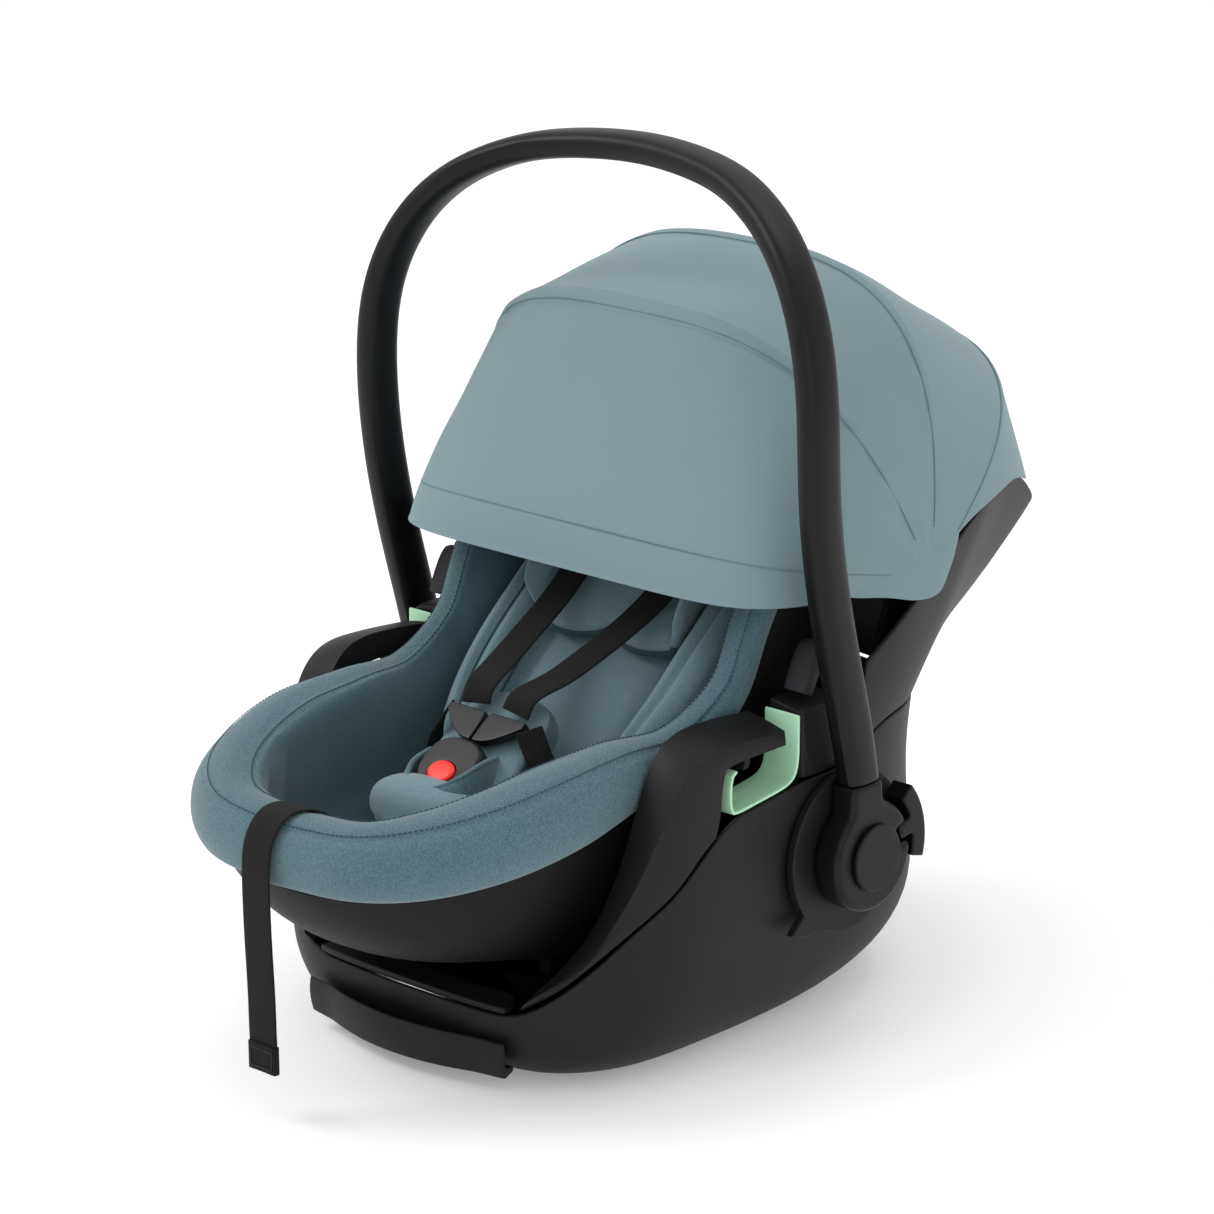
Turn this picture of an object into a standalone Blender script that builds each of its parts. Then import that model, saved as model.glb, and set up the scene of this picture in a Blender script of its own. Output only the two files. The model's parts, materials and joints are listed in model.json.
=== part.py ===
"""Infant car seat with a carrying handle, a folding canopy and a reclining inner seat.

Metres, +Z up. The foot end points to -Y and the head end to +Y. The origin is under
the middle of the shell, on the surface that the seat stands on.
"""

import math

import bmesh
import bpy
import numpy as np
from mathutils import Vector
from mathutils.bvhtree import BVHTree

# Driving dimensions.
GAP = 0.0004                     # clearance between neighbouring parts
LIP_Y = 0.352                    # rear lip of the back shell, before centring
MIDDLE_Y = 0.0184                # middle of the whole length, moved to the origin
HULL_WALL = 0.0042
HULL_FLOOR = 0.0080              # top of the hull's bottom plate
HULL_MIDDLE_Y = -0.030           # where the hull's front and rear halves meet
HULL_SQUARENESS = 3.5            # exponent of the hull's plan outline
HULL_POINTS = 52                 # points around the hull
SEAM_RISE = 0.0046               # side band above the hull's rim
CREASE_Z = 0.2145                # joint line of the hull and the upper back shell

HUB_Y = 0.055                    # handle hinge axis
HUB_Z = 0.138
HUB_RADIUS = 0.0395
HUB_INNER_X = 0.1935
HUB_OUTER_X = 0.2160
CAP_RADIUS = 0.0240
CAP_OUTER_X = 0.2200
HUB_RING_RADIUS = 0.0590
HANDLE_WIDTH = 0.0330
HANDLE_THICKNESS = 0.0210
NECK_TOP_Z = 0.192               # top of the hub's neck, where the arch begins

BUTTON_INNER_RADIUS = 0.0460
BUTTON_OUTER_RADIUS = 0.0600
BUTTON_ANGLE = math.radians(14)  # direction of the button from the hub's axis
BUTTON_SPREAD = math.radians(29)
STEM_WIDTH = 0.0120
STEM_SLOT_DEPTH = 0.0140

GUIDE_INNER_X = 0.1550           # belt guide, between the seat and the outer wall
GUIDE_OUTER_X = 0.1852
GUIDE_WALL = 0.0026
POST_FRONT_Y = 0.0132
POST_REAR_Y = 0.0560
POST_TOP_Z = 0.2460
LEVER_SEAT = 0.0068               # middle of the lever's foot above the post

CANOPY_Y = 0.151                 # canopy hinge axis
CANOPY_Z = 0.311
CANOPY_HALF_WIDTH = 0.184
CANOPY_SQUARENESS = ((3, 40, 61), (6.0, 4.0, 3.0))   # arch exponent over the bow angle
CANOPY_CLOTH = 0.0030
BOW_LAYERS = (0.1765, 0.1705, 0.1645)   # half widths of the front, middle and rear bows
BOW_ANGLES = (3.0, 61.0, 96.0)          # degrees above the forward horizontal
TAIL_ANGLE = 166.0

SHELL_WALL = 0.0040              # inner seat shell
PAD_THICKNESS = 0.0150           # cover over the inner shell
BACK_SLOPE = math.radians(40.8)  # lying surface against the horizontal
BACK_FOOT = (0.050, 0.262)       # a point (Y, Z) of the lying surface, at the shoulders
HEADREST_LIFT = 0.0090           # underside of the headrest above the lying surface
HEADREST_HALF = 0.073

WEB_THICKNESS = 0.0018           # harness webbing
SHOULDER_WIDTH = 0.0300
LAP_WIDTH = 0.0240
ADJUSTER_WIDTH = 0.0260

BLACK = (0.018, 0.016, 0.018)
DARK_GREY = (0.040, 0.038, 0.046)
MINT = (0.36, 0.68, 0.46)
STEEL = (0.60, 0.60, 0.62)
TEAL = (0.080, 0.160, 0.185)
LIGHT_TEAL = (0.180, 0.310, 0.350)
CANOPY_BLUE = (0.210, 0.340, 0.380)
RED = (0.850, 0.045, 0.025)
WEB_BLACK = (0.012, 0.010, 0.009)


# ---------------------------------------------------------------- building blocks

def spline(points, count):
    """Catmull-Rom curve through the points, sampled evenly along its length."""
    p = np.asarray(points, float)
    p = np.vstack([2 * p[0] - p[1], p, 2 * p[-1] - p[-2]])
    dense = []
    for i in range(1, len(p) - 2):
        for t in np.linspace(0, 1, 24, endpoint=False):
            a = 2 * p[i]
            b = p[i + 1] - p[i - 1]
            c = 2 * p[i - 1] - 5 * p[i] + 4 * p[i + 1] - p[i + 2]
            d = -p[i - 1] + 3 * p[i] - 3 * p[i + 1] + p[i + 2]
            dense.append(0.5 * (a + b * t + c * t * t + d * t ** 3))
    dense.append(p[-2])
    dense = np.array(dense)
    length = np.concatenate([[0], np.cumsum(np.linalg.norm(np.diff(dense[:, :3], axis=0), axis=1))])
    at = np.linspace(0, length[-1], count)
    return np.stack([np.interp(at, length, dense[:, k]) for k in range(dense.shape[1])], axis=1)


def unit(v):
    return v / np.maximum(np.linalg.norm(v, axis=-1, keepdims=True), 1e-12)


def material(name, colour, roughness, metallic=0.0):
    made = bpy.data.materials.get(name)
    if made is None:
        made = bpy.data.materials.new(name)
        made.use_nodes = True
        shader = made.node_tree.nodes["Principled BSDF"]
        shader.inputs["Base Color"].default_value = (*colour, 1)
        shader.inputs["Roughness"].default_value = roughness
        shader.inputs["Metallic"].default_value = metallic
    return made


def add_part(name, points, faces, paint, origin=(0, 0, 0)):
    """Make one closed object, with its faces turned outwards and its origin where it hinges."""
    mesh = bpy.data.meshes.new(name)
    origin = Vector(origin)
    mesh.from_pydata([Vector(p) - origin for p in points], [], [tuple(f) for f in faces])
    work = bmesh.new()
    work.from_mesh(mesh)
    bmesh.ops.recalc_face_normals(work, faces=work.faces)
    if work.calc_volume(signed=True) < 0:
        bmesh.ops.reverse_faces(work, faces=work.faces)
    bmesh.ops.triangulate(work, faces=[f for f in work.faces if len(f.verts) > 4])
    work.to_mesh(mesh)
    work.free()
    for polygon in mesh.polygons:
        polygon.use_smooth = True
    part = bpy.data.objects.new(name, mesh)
    part.location = origin - Vector((0, MIDDLE_Y, 0))
    part.data.materials.append(material(*paint))
    bpy.context.scene.collection.objects.link(part)
    return part


def mirrored(points, side):
    return [(side * p[0], p[1], p[2]) for p in points]


def ring_solid(name, rings, paint, origin=(0, 0, 0), tips=(None, None)):
    """Join closed rings one after another and close both ends with a fan about a tip."""
    count = len(rings[0])
    points = [tuple(p) for ring in rings for p in ring]
    faces = []
    for r in range(len(rings) - 1):
        for i in range(count):
            j = (i + 1) % count
            faces.append((r * count + i, r * count + j, (r + 1) * count + j, (r + 1) * count + i))
    for ring, tip, first in ((rings[0], tips[0], 0), (rings[-1], tips[1], (len(rings) - 1) * count)):
        points.append(tuple(np.mean(ring, axis=0)) if tip is None else tuple(tip))
        centre = len(points) - 1
        for i in range(count):
            faces.append((first + i, first + (i + 1) % count, centre))
    return add_part(name, points, faces, paint, origin)


def patch_solid(name, outer, inner, paint, origin=(0, 0, 0)):
    """Close the space between two grids of the same size by walls along their borders."""
    rows, columns = outer.shape[:2]
    points = [tuple(p) for p in outer.reshape(-1, 3)] + [tuple(p) for p in inner.reshape(-1, 3)]
    below = rows * columns
    faces = []
    for r in range(rows - 1):
        for c in range(columns - 1):
            a = r * columns + c
            quad = (a, a + 1, a + columns + 1, a + columns)
            faces.append(quad)
            faces.append(tuple(below + k for k in reversed(quad)))
    border = [c for c in range(columns)]
    border += [r * columns + columns - 1 for r in range(1, rows)]
    border += [(rows - 1) * columns + c for c in range(columns - 2, -1, -1)]
    border += [r * columns for r in range(rows - 2, 0, -1)]
    for i, a in enumerate(border):
        b = border[(i + 1) % len(border)]
        faces.append((a, below + a, below + b, b))
    return add_part(name, points, faces, paint, origin)


def grid_normals(grid):
    """Surface normals of a grid of points, from its differences along rows and columns."""
    along = np.gradient(grid, axis=1)
    across = np.gradient(grid, axis=0)
    return unit(np.cross(along, across))


def prism(name, outline, low, high, paint, axis="x", side=1, origin=(0, 0, 0), bevel=0.0):
    """Extrude a flat outline along X or Y, with its long edges rounded by a bevel."""
    if axis == "x":
        low_ring = [(low, a, b) for a, b in outline]
        high_ring = [(high, a, b) for a, b in outline]
    else:
        low_ring = [(a, low, b) for a, b in outline]
        high_ring = [(a, high, b) for a, b in outline]
    count = len(outline)
    points = mirrored(low_ring + high_ring, side)
    faces = [tuple(range(count)), tuple(range(2 * count - 1, count - 1, -1))]
    faces += [(i, (i + 1) % count, count + (i + 1) % count, count + i) for i in range(count)]
    part = add_part(name, points, faces, paint, origin)
    if bevel:
        rounding = part.modifiers.new("rounding", "BEVEL")
        rounding.width = bevel
        rounding.segments = 1
        rounding.limit_method = "ANGLE"
        rounding.angle_limit = math.radians(50)
    return part


def disc(radius, count=24, centre=(HUB_Y, HUB_Z)):
    turn = np.linspace(0, 2 * math.pi, count, endpoint=False)
    return [(centre[0] + radius * math.cos(a), centre[1] + radius * math.sin(a)) for a in turn]


def frames_along(path, reference):
    """Tangent, side and normal directions along a path, the side kept near a reference."""
    tangent = unit(np.gradient(path, axis=0))
    reference = np.broadcast_to(np.asarray(reference, float), path.shape)
    side = unit(reference - tangent * np.sum(reference * tangent, axis=1, keepdims=True))
    return tangent, side, np.cross(tangent, side)


def strap(name, path, width, paint, reference=(1, 0, 0), thickness=WEB_THICKNESS, side=1,
          origin=(0, 0, 0)):
    """Flat webbing that follows a path, its width along the reference direction."""
    path = np.asarray(path, float)
    tangent, across, normal = frames_along(path, reference)
    corners = ((-0.5, -0.5), (0.5, -0.5), (0.5, 0.5), (-0.5, 0.5))
    rings = []
    for p, a, n in zip(path, across, normal):
        rings.append(mirrored([p + a * width * u + n * thickness * v for u, v in corners], side))
    return ring_solid(name, rings, paint, origin)


# ---------------------------------------------------------------- hull of the base

# Height, half width, front reach and rear reach of the hull's plan outline.
HULL_LEVELS = np.array([
    (0.000, 0.112, 0.100, 0.120),
    (0.006, 0.136, 0.130, 0.170),
    (0.018, 0.152, 0.150, 0.222),
    (0.038, 0.166, 0.154, 0.254),
    (0.065, 0.176, 0.152, 0.266),
    (0.100, 0.184, 0.150, 0.260),
    (0.140, 0.186, 0.148, 0.240),
    (0.180, 0.186, 0.148, 0.240),
    (0.2145, 0.186, 0.148, 0.248)])

# Height of the hull's rim: over the half width at the front, and over Y along the side.
RIM_FRONT = ((0.000, 0.108, 0.130, 0.152, 0.172), (0.055, 0.055, 0.074, 0.100, 0.133))
RIM_SIDE = ((-0.120, -0.092, -0.072, -0.062, -0.004, 0.012, 0.070, 0.090, 0.104),
            (0.133, 0.160, 0.183, 0.1870, 0.1930, 0.1955, 0.1955, 0.2050, CREASE_Z))


def hull_outline(turn, height, inset=0.0):
    """Point of the hull's outer wall at a turn from the front (0) to the rear (pi)."""
    half, front, rear = (np.interp(height, HULL_LEVELS[:, 0], HULL_LEVELS[:, k]) for k in (1, 2, 3))
    power = 2 / HULL_SQUARENESS
    c, s = np.cos(turn), np.sin(turn)
    reach = np.where(c > 0, front, rear) - inset
    x = (half - inset) * np.sign(s) * np.abs(s) ** power
    y = HULL_MIDDLE_Y - reach * np.sign(c) * np.abs(c) ** power
    return np.stack([x, y, np.broadcast_to(height, np.shape(x))], axis=-1)


def even_turns(count, closed=True):
    """Turns that space points evenly around the hull's outline."""
    dense = np.linspace(0, 2 * math.pi, 4001)
    line = hull_outline(dense, np.full(dense.shape, 0.1))
    length = np.concatenate([[0], np.cumsum(np.linalg.norm(np.diff(line, axis=0), axis=1))])
    at = np.linspace(0, length[-1], count, endpoint=not closed)
    return np.interp(at, length, dense)


def rim_height(turn):
    at = hull_outline(turn, np.full(np.shape(turn), 0.1))
    front = np.interp(np.abs(at[..., 0]), *RIM_FRONT)
    side = np.interp(at[..., 1], *RIM_SIDE)
    return np.where(at[..., 1] < RIM_SIDE[0][0], front, side)


def turn_at(x=None, y=None):
    """Turn on the right-hand side where the hull's outline passes a given X or Y."""
    dense = np.linspace(0, math.pi, 4001)
    line = hull_outline(dense, np.full(dense.shape, 0.1))
    if x is not None:
        front = line[:, 1] < -0.1
        return float(np.interp(x, line[front, 0], dense[front]))
    return float(np.interp(y, line[:, 1], dense))


def build_hull():
    turns = even_turns(HULL_POINTS)
    rim = rim_height(turns)
    steps = (0.0, 0.03, 0.09, 0.20, 0.38, 0.62, 0.84, 1.0)
    rings = [hull_outline(turns, rim * s) for s in steps]
    for s in (1.0, 0.84, 0.62, 0.38, 0.2, 0.09, 0.0):
        height = HULL_FLOOR + (rim - HULL_FLOOR) * s
        rings.append(hull_outline(turns, height, HULL_WALL))
    ring_solid("base_shell", rings, ("hull plastic", BLACK, 0.52))


def hull_rim(turn):
    """Point of the hull's rim: it lies on the straight line between the two nearest corners."""
    turns = np.append(even_turns(HULL_POINTS), 2 * math.pi)
    rim = hull_outline(turns, rim_height(turns))
    return np.array([np.interp(turn % (2 * math.pi), turns, rim[:, k]) for k in range(3)])


def side_band_stations():
    """Inner edge and crease of the band that runs up to the belt hook (X, Y, Z each)."""
    inner = ((0.1020, -0.160, 0.0720), (0.117, -0.147, 0.0930), (0.134, -0.137, 0.1230),
             (0.1455, -0.126, 0.1630), (0.1500, -0.114, 0.2030), (0.1510, -0.099, 0.2340),
             (0.1514, -0.079, 0.2462), (0.1512, -0.045, 0.2470), (0.1506, -0.003, 0.2430))
    crease = ((0.1055, -0.178, 0.0695), (0.129, -0.166, 0.0880), (0.151, -0.151, 0.1160),
              (0.1680, -0.135, 0.1550), (0.1775, -0.119, 0.1950), (0.1825, -0.100, 0.2250),
              (0.1842, -0.078, 0.2375), (0.1844, -0.045, 0.2385), (0.1836, -0.003, 0.2360))
    turns = [turn_at(x=x) for x in (0.105, 0.132, 0.155)] + [turn_at(y=y) for y in (-0.112, -0.090, -0.0735)]
    seam = [hull_rim(t) + np.array((0, 0, SEAM_RISE)) for t in turns]
    seam += [(0.1854, -0.0690, 0.2100), (0.1852, -0.0640, 0.2250), (0.1855, -0.045, 0.2263),
             (0.1848, -0.003, 0.2260)]
    hook = (0, 0, 0, 0, 0, 0.25, 0.75, 1, 1)
    return (spline(np.column_stack([inner, hook]), 20), spline(crease, 20), spline(np.array(seam), 20))


def build_side_band(name, side):
    inner, crease, seam = side_band_stations()
    rings = []
    for k, ((ix, iy, iz, hook), c, s) in enumerate(zip(inner, crease, seam)):
        ease = min(1, 0.1 + k / 7)
        i = np.array((ix, iy, iz))
        crown = (i + c) / 2 + np.array((0.0006, -0.0012, 0.0016))
        cheek = (c + s) / 2 + np.array((0.0016, -0.0016, 0.0))
        seam_in = s + np.array((-0.0055 * ease, 0.0050 - 0.0042 * ease, 0))
        open_in = (c + s) / 2 + np.array((-0.0075 * ease, 0.0060, 0.0))
        under = (i + c) / 2 + np.array((-0.0010 * ease, 0.0040 + 0.0020 * ease, -0.0020 - 0.0020 * ease))
        inner_in = i + np.array((0.0, 0.0030 + 0.0018 * ease, -0.0030))
        low = s[2]
        bar_open = np.array((0.1760, s[1], low))
        bar_under = np.array((0.1650, s[1], low))
        bar_inner = np.array((0.1515, s[1], low + 0.0010))
        open_in = open_in * (1 - hook) + bar_open * hook
        under = under * (1 - hook) + bar_under * hook
        inner_in = inner_in * (1 - hook) + bar_inner * hook
        rings.append(mirrored([i, crown, c, cheek, s, seam_in, open_in, under, inner_in], side))
    ring_solid(name, rings, ("hull plastic", BLACK, 0.52))


def build_front_rim():
    """Rim trim across the front of the hull, between the two side bands."""
    end = turn_at(x=0.0950)
    rings = []
    for turn in np.linspace(-end, end, 17):
        outer = hull_rim(turn) + np.array((0, 0, 4 * GAP))
        crown = hull_outline(np.array(turn), np.array(0.0625), 0.008)
        inner = hull_outline(np.array(turn), np.array(0.0640), 0.020)
        drop = np.array((0, 0, -0.0040))
        rings.append([outer, outer + np.array((0, -0.0005, 0.0050)), crown, inner, inner + drop,
                      crown + drop + np.array((0, 0.003, 0)),
                      outer + np.array((0, HULL_WALL, 0))])
    ring_solid("front_rim", rings, ("hull plastic", BLACK, 0.52))


def build_front_lip():
    """Low bumper lip across the front of the hull, with an open pocket behind it."""
    half, bulge, height, floor, wall = 0.0930, 0.0240, 0.0400, 0.0160, 0.0045
    rings, corners = [], []
    for x in np.linspace(-half, half, 17):
        share = (x / half) ** 2
        hull_y = min(float(hull_front_y(abs(x), z)) for z in (floor, floor + wall)) - 3 * GAP
        front = -0.2035 + bulge * share
        top = height - 0.0015 * share
        front = min(front, hull_y - wall - 0.0035, float(hull_front_y(abs(x), top)) - wall - 0.0035)
        rings.append([(x, front + 0.0035, floor - 0.004), (x, hull_y, floor), (x, hull_y, floor + wall),
                      (x, front + wall, floor + wall), (x, front + wall - 0.0008, top),
                      (x, front + 0.0008, top), (x, front - 0.0006, (top + floor) / 2)])
        corners.append((x, front + wall / 2, floor + wall / 2))
    ring_solid("front_lip", rings, ("hull plastic", BLACK, 0.52), tips=(corners[0], corners[-1]))


def hull_front_y(x, height):
    """Y of the hull's front wall at a half width and a height."""
    half, front = (np.interp(height, HULL_LEVELS[:, 0], HULL_LEVELS[:, k]) for k in (1, 2))
    share = (1 - (x / half) ** HULL_SQUARENESS) ** (1 / HULL_SQUARENESS)
    return HULL_MIDDLE_Y - front * share


def build_back_shell():
    """Upper back shell, which flares from the crease to a lip behind the canopy."""
    start = turn_at(y=0.078)
    turns = np.linspace(start, 2 * math.pi - start, 33)
    foot = np.array([hull_rim(t) for t in turns])
    foot[:, 2] += 4 * GAP
    half_top = ((0.1880, 0.078, 0.2660), (0.1880, 0.104, 0.2800), (0.1875, 0.135, 0.3000), (0.1840, 0.180, 0.3300),
                (0.1780, 0.225, 0.3520), (0.1660, 0.262, 0.3600), (0.1480, 0.305, 0.3400),
                (0.1230, 0.346, 0.3110), (0.0750, LIP_Y, 0.3020), (0.0, LIP_Y, 0.3000))
    half_top = spline(half_top, 17)
    other = half_top[-2::-1] * np.array((-1, 1, 1))
    top = np.vstack([half_top, other])
    rows = []
    for t in (0.0, 0.12, 0.35, 0.6, 0.82, 1.0):
        bulge = 0.010 * math.sin(math.pi * t)
        row = foot * (1 - t) + top * t
        row[:, 2] -= bulge * np.clip((row[:, 1] - 0.12) / 0.15, 0, 1)
        rows.append(row)
    outer = np.array(rows)
    normal = grid_normals(outer)
    centre = np.array((0, 0.10, 0.36))
    flip = np.sign(np.sum(normal * (outer - centre), axis=2, keepdims=True))
    inner = outer - normal * flip * 0.0036
    inner[0, :, 2] = outer[0, :, 2]
    patch_solid("back_shell", outer, inner, ("hull plastic", BLACK, 0.52))


# ---------------------------------------------------------------- belt guides and posts

def build_belt_guide(name, side):
    """Channel that holds the car belt, a strip bent round the slot under the hook."""
    centre = ((-0.0530, 0.2200), (-0.0565, 0.2190), (-0.0590, 0.2110), (-0.0588, 0.1965),
              (-0.0550, 0.1908), (-0.0300, 0.1930), (-0.0040, 0.1965), (0.0060, 0.2010),
              (0.0096, 0.2120), (0.0100, 0.2300), (0.0100, 0.2440))
    line = spline(np.column_stack([np.zeros(len(centre)), centre]), 26)
    tangent = unit(np.gradient(line, axis=0))
    normal = np.cross(tangent, (1, 0, 0))
    outline = [tuple(p[1:]) for p in line + normal * GUIDE_WALL / 2]
    outline += [tuple(p[1:]) for p in (line - normal * GUIDE_WALL / 2)[::-1]]
    prism(name, outline, GUIDE_INNER_X, GUIDE_OUTER_X, ("guide plastic", MINT, 0.45), side=side)


def build_belt_tab(name, side):
    """Small retainer that hangs under the hook and keeps the belt in the channel."""
    outline = ((0.1640, 0.2245), (0.1640, 0.2160), (0.1660, 0.2125), (0.1720, 0.2125),
               (0.1740, 0.2160), (0.1740, 0.2245))
    prism(name, outline, -0.0330, -0.0270, ("hull plastic", BLACK, 0.52), axis="y", side=side)


def build_guide_post(name, side):
    """Post behind the belt guide, which stands inside the hull and carries the lever."""
    outline = ((GUIDE_INNER_X, 0.1500), (0.1765, 0.1500), (0.1765, 0.1968), (0.1858, 0.1968),
               (0.1858, 0.2420), (0.1830, POST_TOP_Z), (GUIDE_INNER_X, POST_TOP_Z + 0.004),
               (GUIDE_INNER_X - 0.001, 0.2300))
    prism(name, outline, POST_FRONT_Y, POST_REAR_Y, ("hull plastic", BLACK, 0.52), axis="y",
          side=side, bevel=0.0016)


def build_lever(name, side):
    """Soft release lever that leans back on top of the post."""
    lean = np.array((0, 0.42, 0.907))
    foot = np.array((0.1690, 0.0270, POST_TOP_Z + LEVER_SEAT))
    forward = np.array((0, 0.907, -0.42))
    rings = []
    for along, half_width, half_depth in ((0.0, 0.0098, 0.0070), (0.004, 0.0108, 0.0078),
                                          (0.021, 0.0108, 0.0076), (0.030, 0.0100, 0.0070),
                                          (0.0350, 0.0078, 0.0056), (0.0372, 0.0040, 0.0030)):
        turn = np.linspace(0, 2 * math.pi, 12, endpoint=False)
        centre = foot + lean * along
        ring = [centre + np.array((1, 0, 0)) * half_width * math.copysign(abs(math.cos(a)) ** 0.7, math.cos(a))
                + forward * half_depth * math.copysign(abs(math.sin(a)) ** 0.7, math.sin(a)) for a in turn]
        rings.append(mirrored(ring, side))
    ring_solid(name, rings, ("lever rubber", DARK_GREY, 0.6))


# ---------------------------------------------------------------- handle

HANDLE_PATH = ((0.2055, 0.0490, NECK_TOP_Z + GAP), (0.2060, 0.0390, 0.2350), (0.2065, 0.0220, 0.2950),
               (0.2065, 0.0090, 0.3500), (0.2065, 0.0020, 0.4020), (0.2060, 0.0010, 0.4450),
               (0.2020, 0.0030, 0.4800), (0.1915, 0.0080, 0.5130), (0.1710, 0.0165, 0.5460),
               (0.1400, 0.0285, 0.5720), (0.0950, 0.0440, 0.5910), (0.0450, 0.0540, 0.5985),
               (0.0, 0.0580, 0.6005))


def build_handle():
    """Carrying handle: one bowed bar from hub to hub, wide to the front and flat inside."""
    half = spline(HANDLE_PATH, 19)
    path = np.vstack([half, half[-2::-1] * np.array((-1, 1, 1))])
    tangent, across, normal = frames_along(path, (0, 1, 0))
    turn = np.linspace(0, 2 * math.pi, 12, endpoint=False) + math.pi / 12
    power = 2 / 2.9
    rings = []
    for p, a, n in zip(path, across, normal):
        rings.append([p + a * HANDLE_WIDTH / 2 * math.copysign(abs(math.cos(t)) ** power, math.cos(t))
                      + n * HANDLE_THICKNESS / 2 * math.copysign(abs(math.sin(t)) ** power, math.sin(t))
                      for t in turn])
    for ring in (rings[0], rings[-1]):
        for k, p in enumerate(ring):
            ring[k] = np.array((p[0], p[1], NECK_TOP_Z + GAP))
    ring_solid("handle_arch", rings, ("handle plastic", BLACK, 0.40), (0, HUB_Y, HUB_Z))


def hub_outline():
    """Round hub with a neck for the arch on top and a slot for the button's stem."""
    neck_half, neck_y = 0.0160, 0.0490
    slot = np.array((math.cos(BUTTON_ANGLE), math.sin(BUTTON_ANGLE)))
    square = np.array((-slot[1], slot[0]))
    centre = np.array((HUB_Y, HUB_Z))
    half = STEM_WIDTH / 2 + 0.0006
    reach = math.sqrt(HUB_RADIUS ** 2 - half ** 2)
    deep = HUB_RADIUS - STEM_SLOT_DEPTH
    outline = []
    start = BUTTON_ANGLE + math.asin(half / HUB_RADIUS)
    neck_right = math.acos((neck_y + neck_half - HUB_Y) / HUB_RADIUS)
    neck_left = math.acos((neck_y - neck_half - HUB_Y) / HUB_RADIUS)
    for a in np.linspace(start, neck_right, 5):
        outline.append((HUB_Y + HUB_RADIUS * math.cos(a), HUB_Z + HUB_RADIUS * math.sin(a)))
    outline.append((neck_y + neck_half, NECK_TOP_Z))
    outline.append((neck_y - neck_half, NECK_TOP_Z))
    for a in np.linspace(neck_left, 2 * math.pi + BUTTON_ANGLE - math.asin(half / HUB_RADIUS), 28):
        outline.append((HUB_Y + HUB_RADIUS * math.cos(a), HUB_Z + HUB_RADIUS * math.sin(a)))
    outline.append(tuple(centre + slot * deep - square * half))
    outline.append(tuple(centre + slot * deep + square * half))
    return outline


def build_hub(name, side):
    prism(name, hub_outline(), HUB_INNER_X, HUB_OUTER_X, ("handle plastic", BLACK, 0.40),
          side=side, origin=(0, HUB_Y, HUB_Z), bevel=0.0030)


def build_hub_cap(name, side):
    prism(name, disc(CAP_RADIUS), HUB_OUTER_X + GAP, CAP_OUTER_X, ("cap plastic", BLACK, 0.48),
          side=side, origin=(0, HUB_Y, HUB_Z), bevel=0.0012)


def build_hub_ring(name, side):
    """Fixed ring under the hub, with a foot that runs down the hull."""
    outline = []
    for a in np.linspace(math.radians(-100), math.radians(218), 34):
        outline.append((HUB_Y + HUB_RING_RADIUS * math.cos(a), HUB_Z + HUB_RING_RADIUS * math.sin(a)))
    outline += [(-0.0040, 0.0900), (0.0180, 0.0840), (0.0240, 0.0880)]
    prism(name, outline, 0.1866, HUB_INNER_X - GAP, ("hull plastic", BLACK, 0.52), side=side,
          bevel=0.0016)


def build_button(name, side):
    """Curved push button behind the hub, with a stem in the hub's slot."""
    outline = []
    for a in np.linspace(-BUTTON_SPREAD, BUTTON_SPREAD, 9):
        turn = BUTTON_ANGLE + a
        outline.append((HUB_Y + BUTTON_OUTER_RADIUS * math.cos(turn),
                        HUB_Z + BUTTON_OUTER_RADIUS * math.sin(turn)))
    slot = np.array((math.cos(BUTTON_ANGLE), math.sin(BUTTON_ANGLE)))
    square = np.array((-slot[1], slot[0]))
    centre = np.array((HUB_Y, HUB_Z))
    half = STEM_WIDTH / 2
    stem_end = HUB_RADIUS - STEM_SLOT_DEPTH + 0.0068
    shoulder = math.asin(half / BUTTON_INNER_RADIUS)
    for a in np.linspace(BUTTON_SPREAD, shoulder, 4):
        turn = BUTTON_ANGLE + a
        outline.append((HUB_Y + BUTTON_INNER_RADIUS * math.cos(turn),
                        HUB_Z + BUTTON_INNER_RADIUS * math.sin(turn)))
    outline.append(tuple(centre + slot * stem_end + square * half))
    outline.append(tuple(centre + slot * stem_end - square * half))
    for a in np.linspace(-shoulder, -BUTTON_SPREAD, 4):
        turn = BUTTON_ANGLE + a
        outline.append((HUB_Y + BUTTON_INNER_RADIUS * math.cos(turn),
                        HUB_Z + BUTTON_INNER_RADIUS * math.sin(turn)))
    prism(name, outline, HUB_INNER_X + 0.0020, HUB_OUTER_X - 0.0030, ("button plastic", DARK_GREY, 0.45),
          side=side, bevel=0.0012)


def build_axle(name, side):
    """Steel hinge pin of the handle, inside the hull's wall."""
    prism(name, disc(0.0075, 12), 0.1570, 0.1765, ("steel", STEEL, 0.30, 1.0), side=side,
          bevel=0.0008)


# ---------------------------------------------------------------- inner seat

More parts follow.
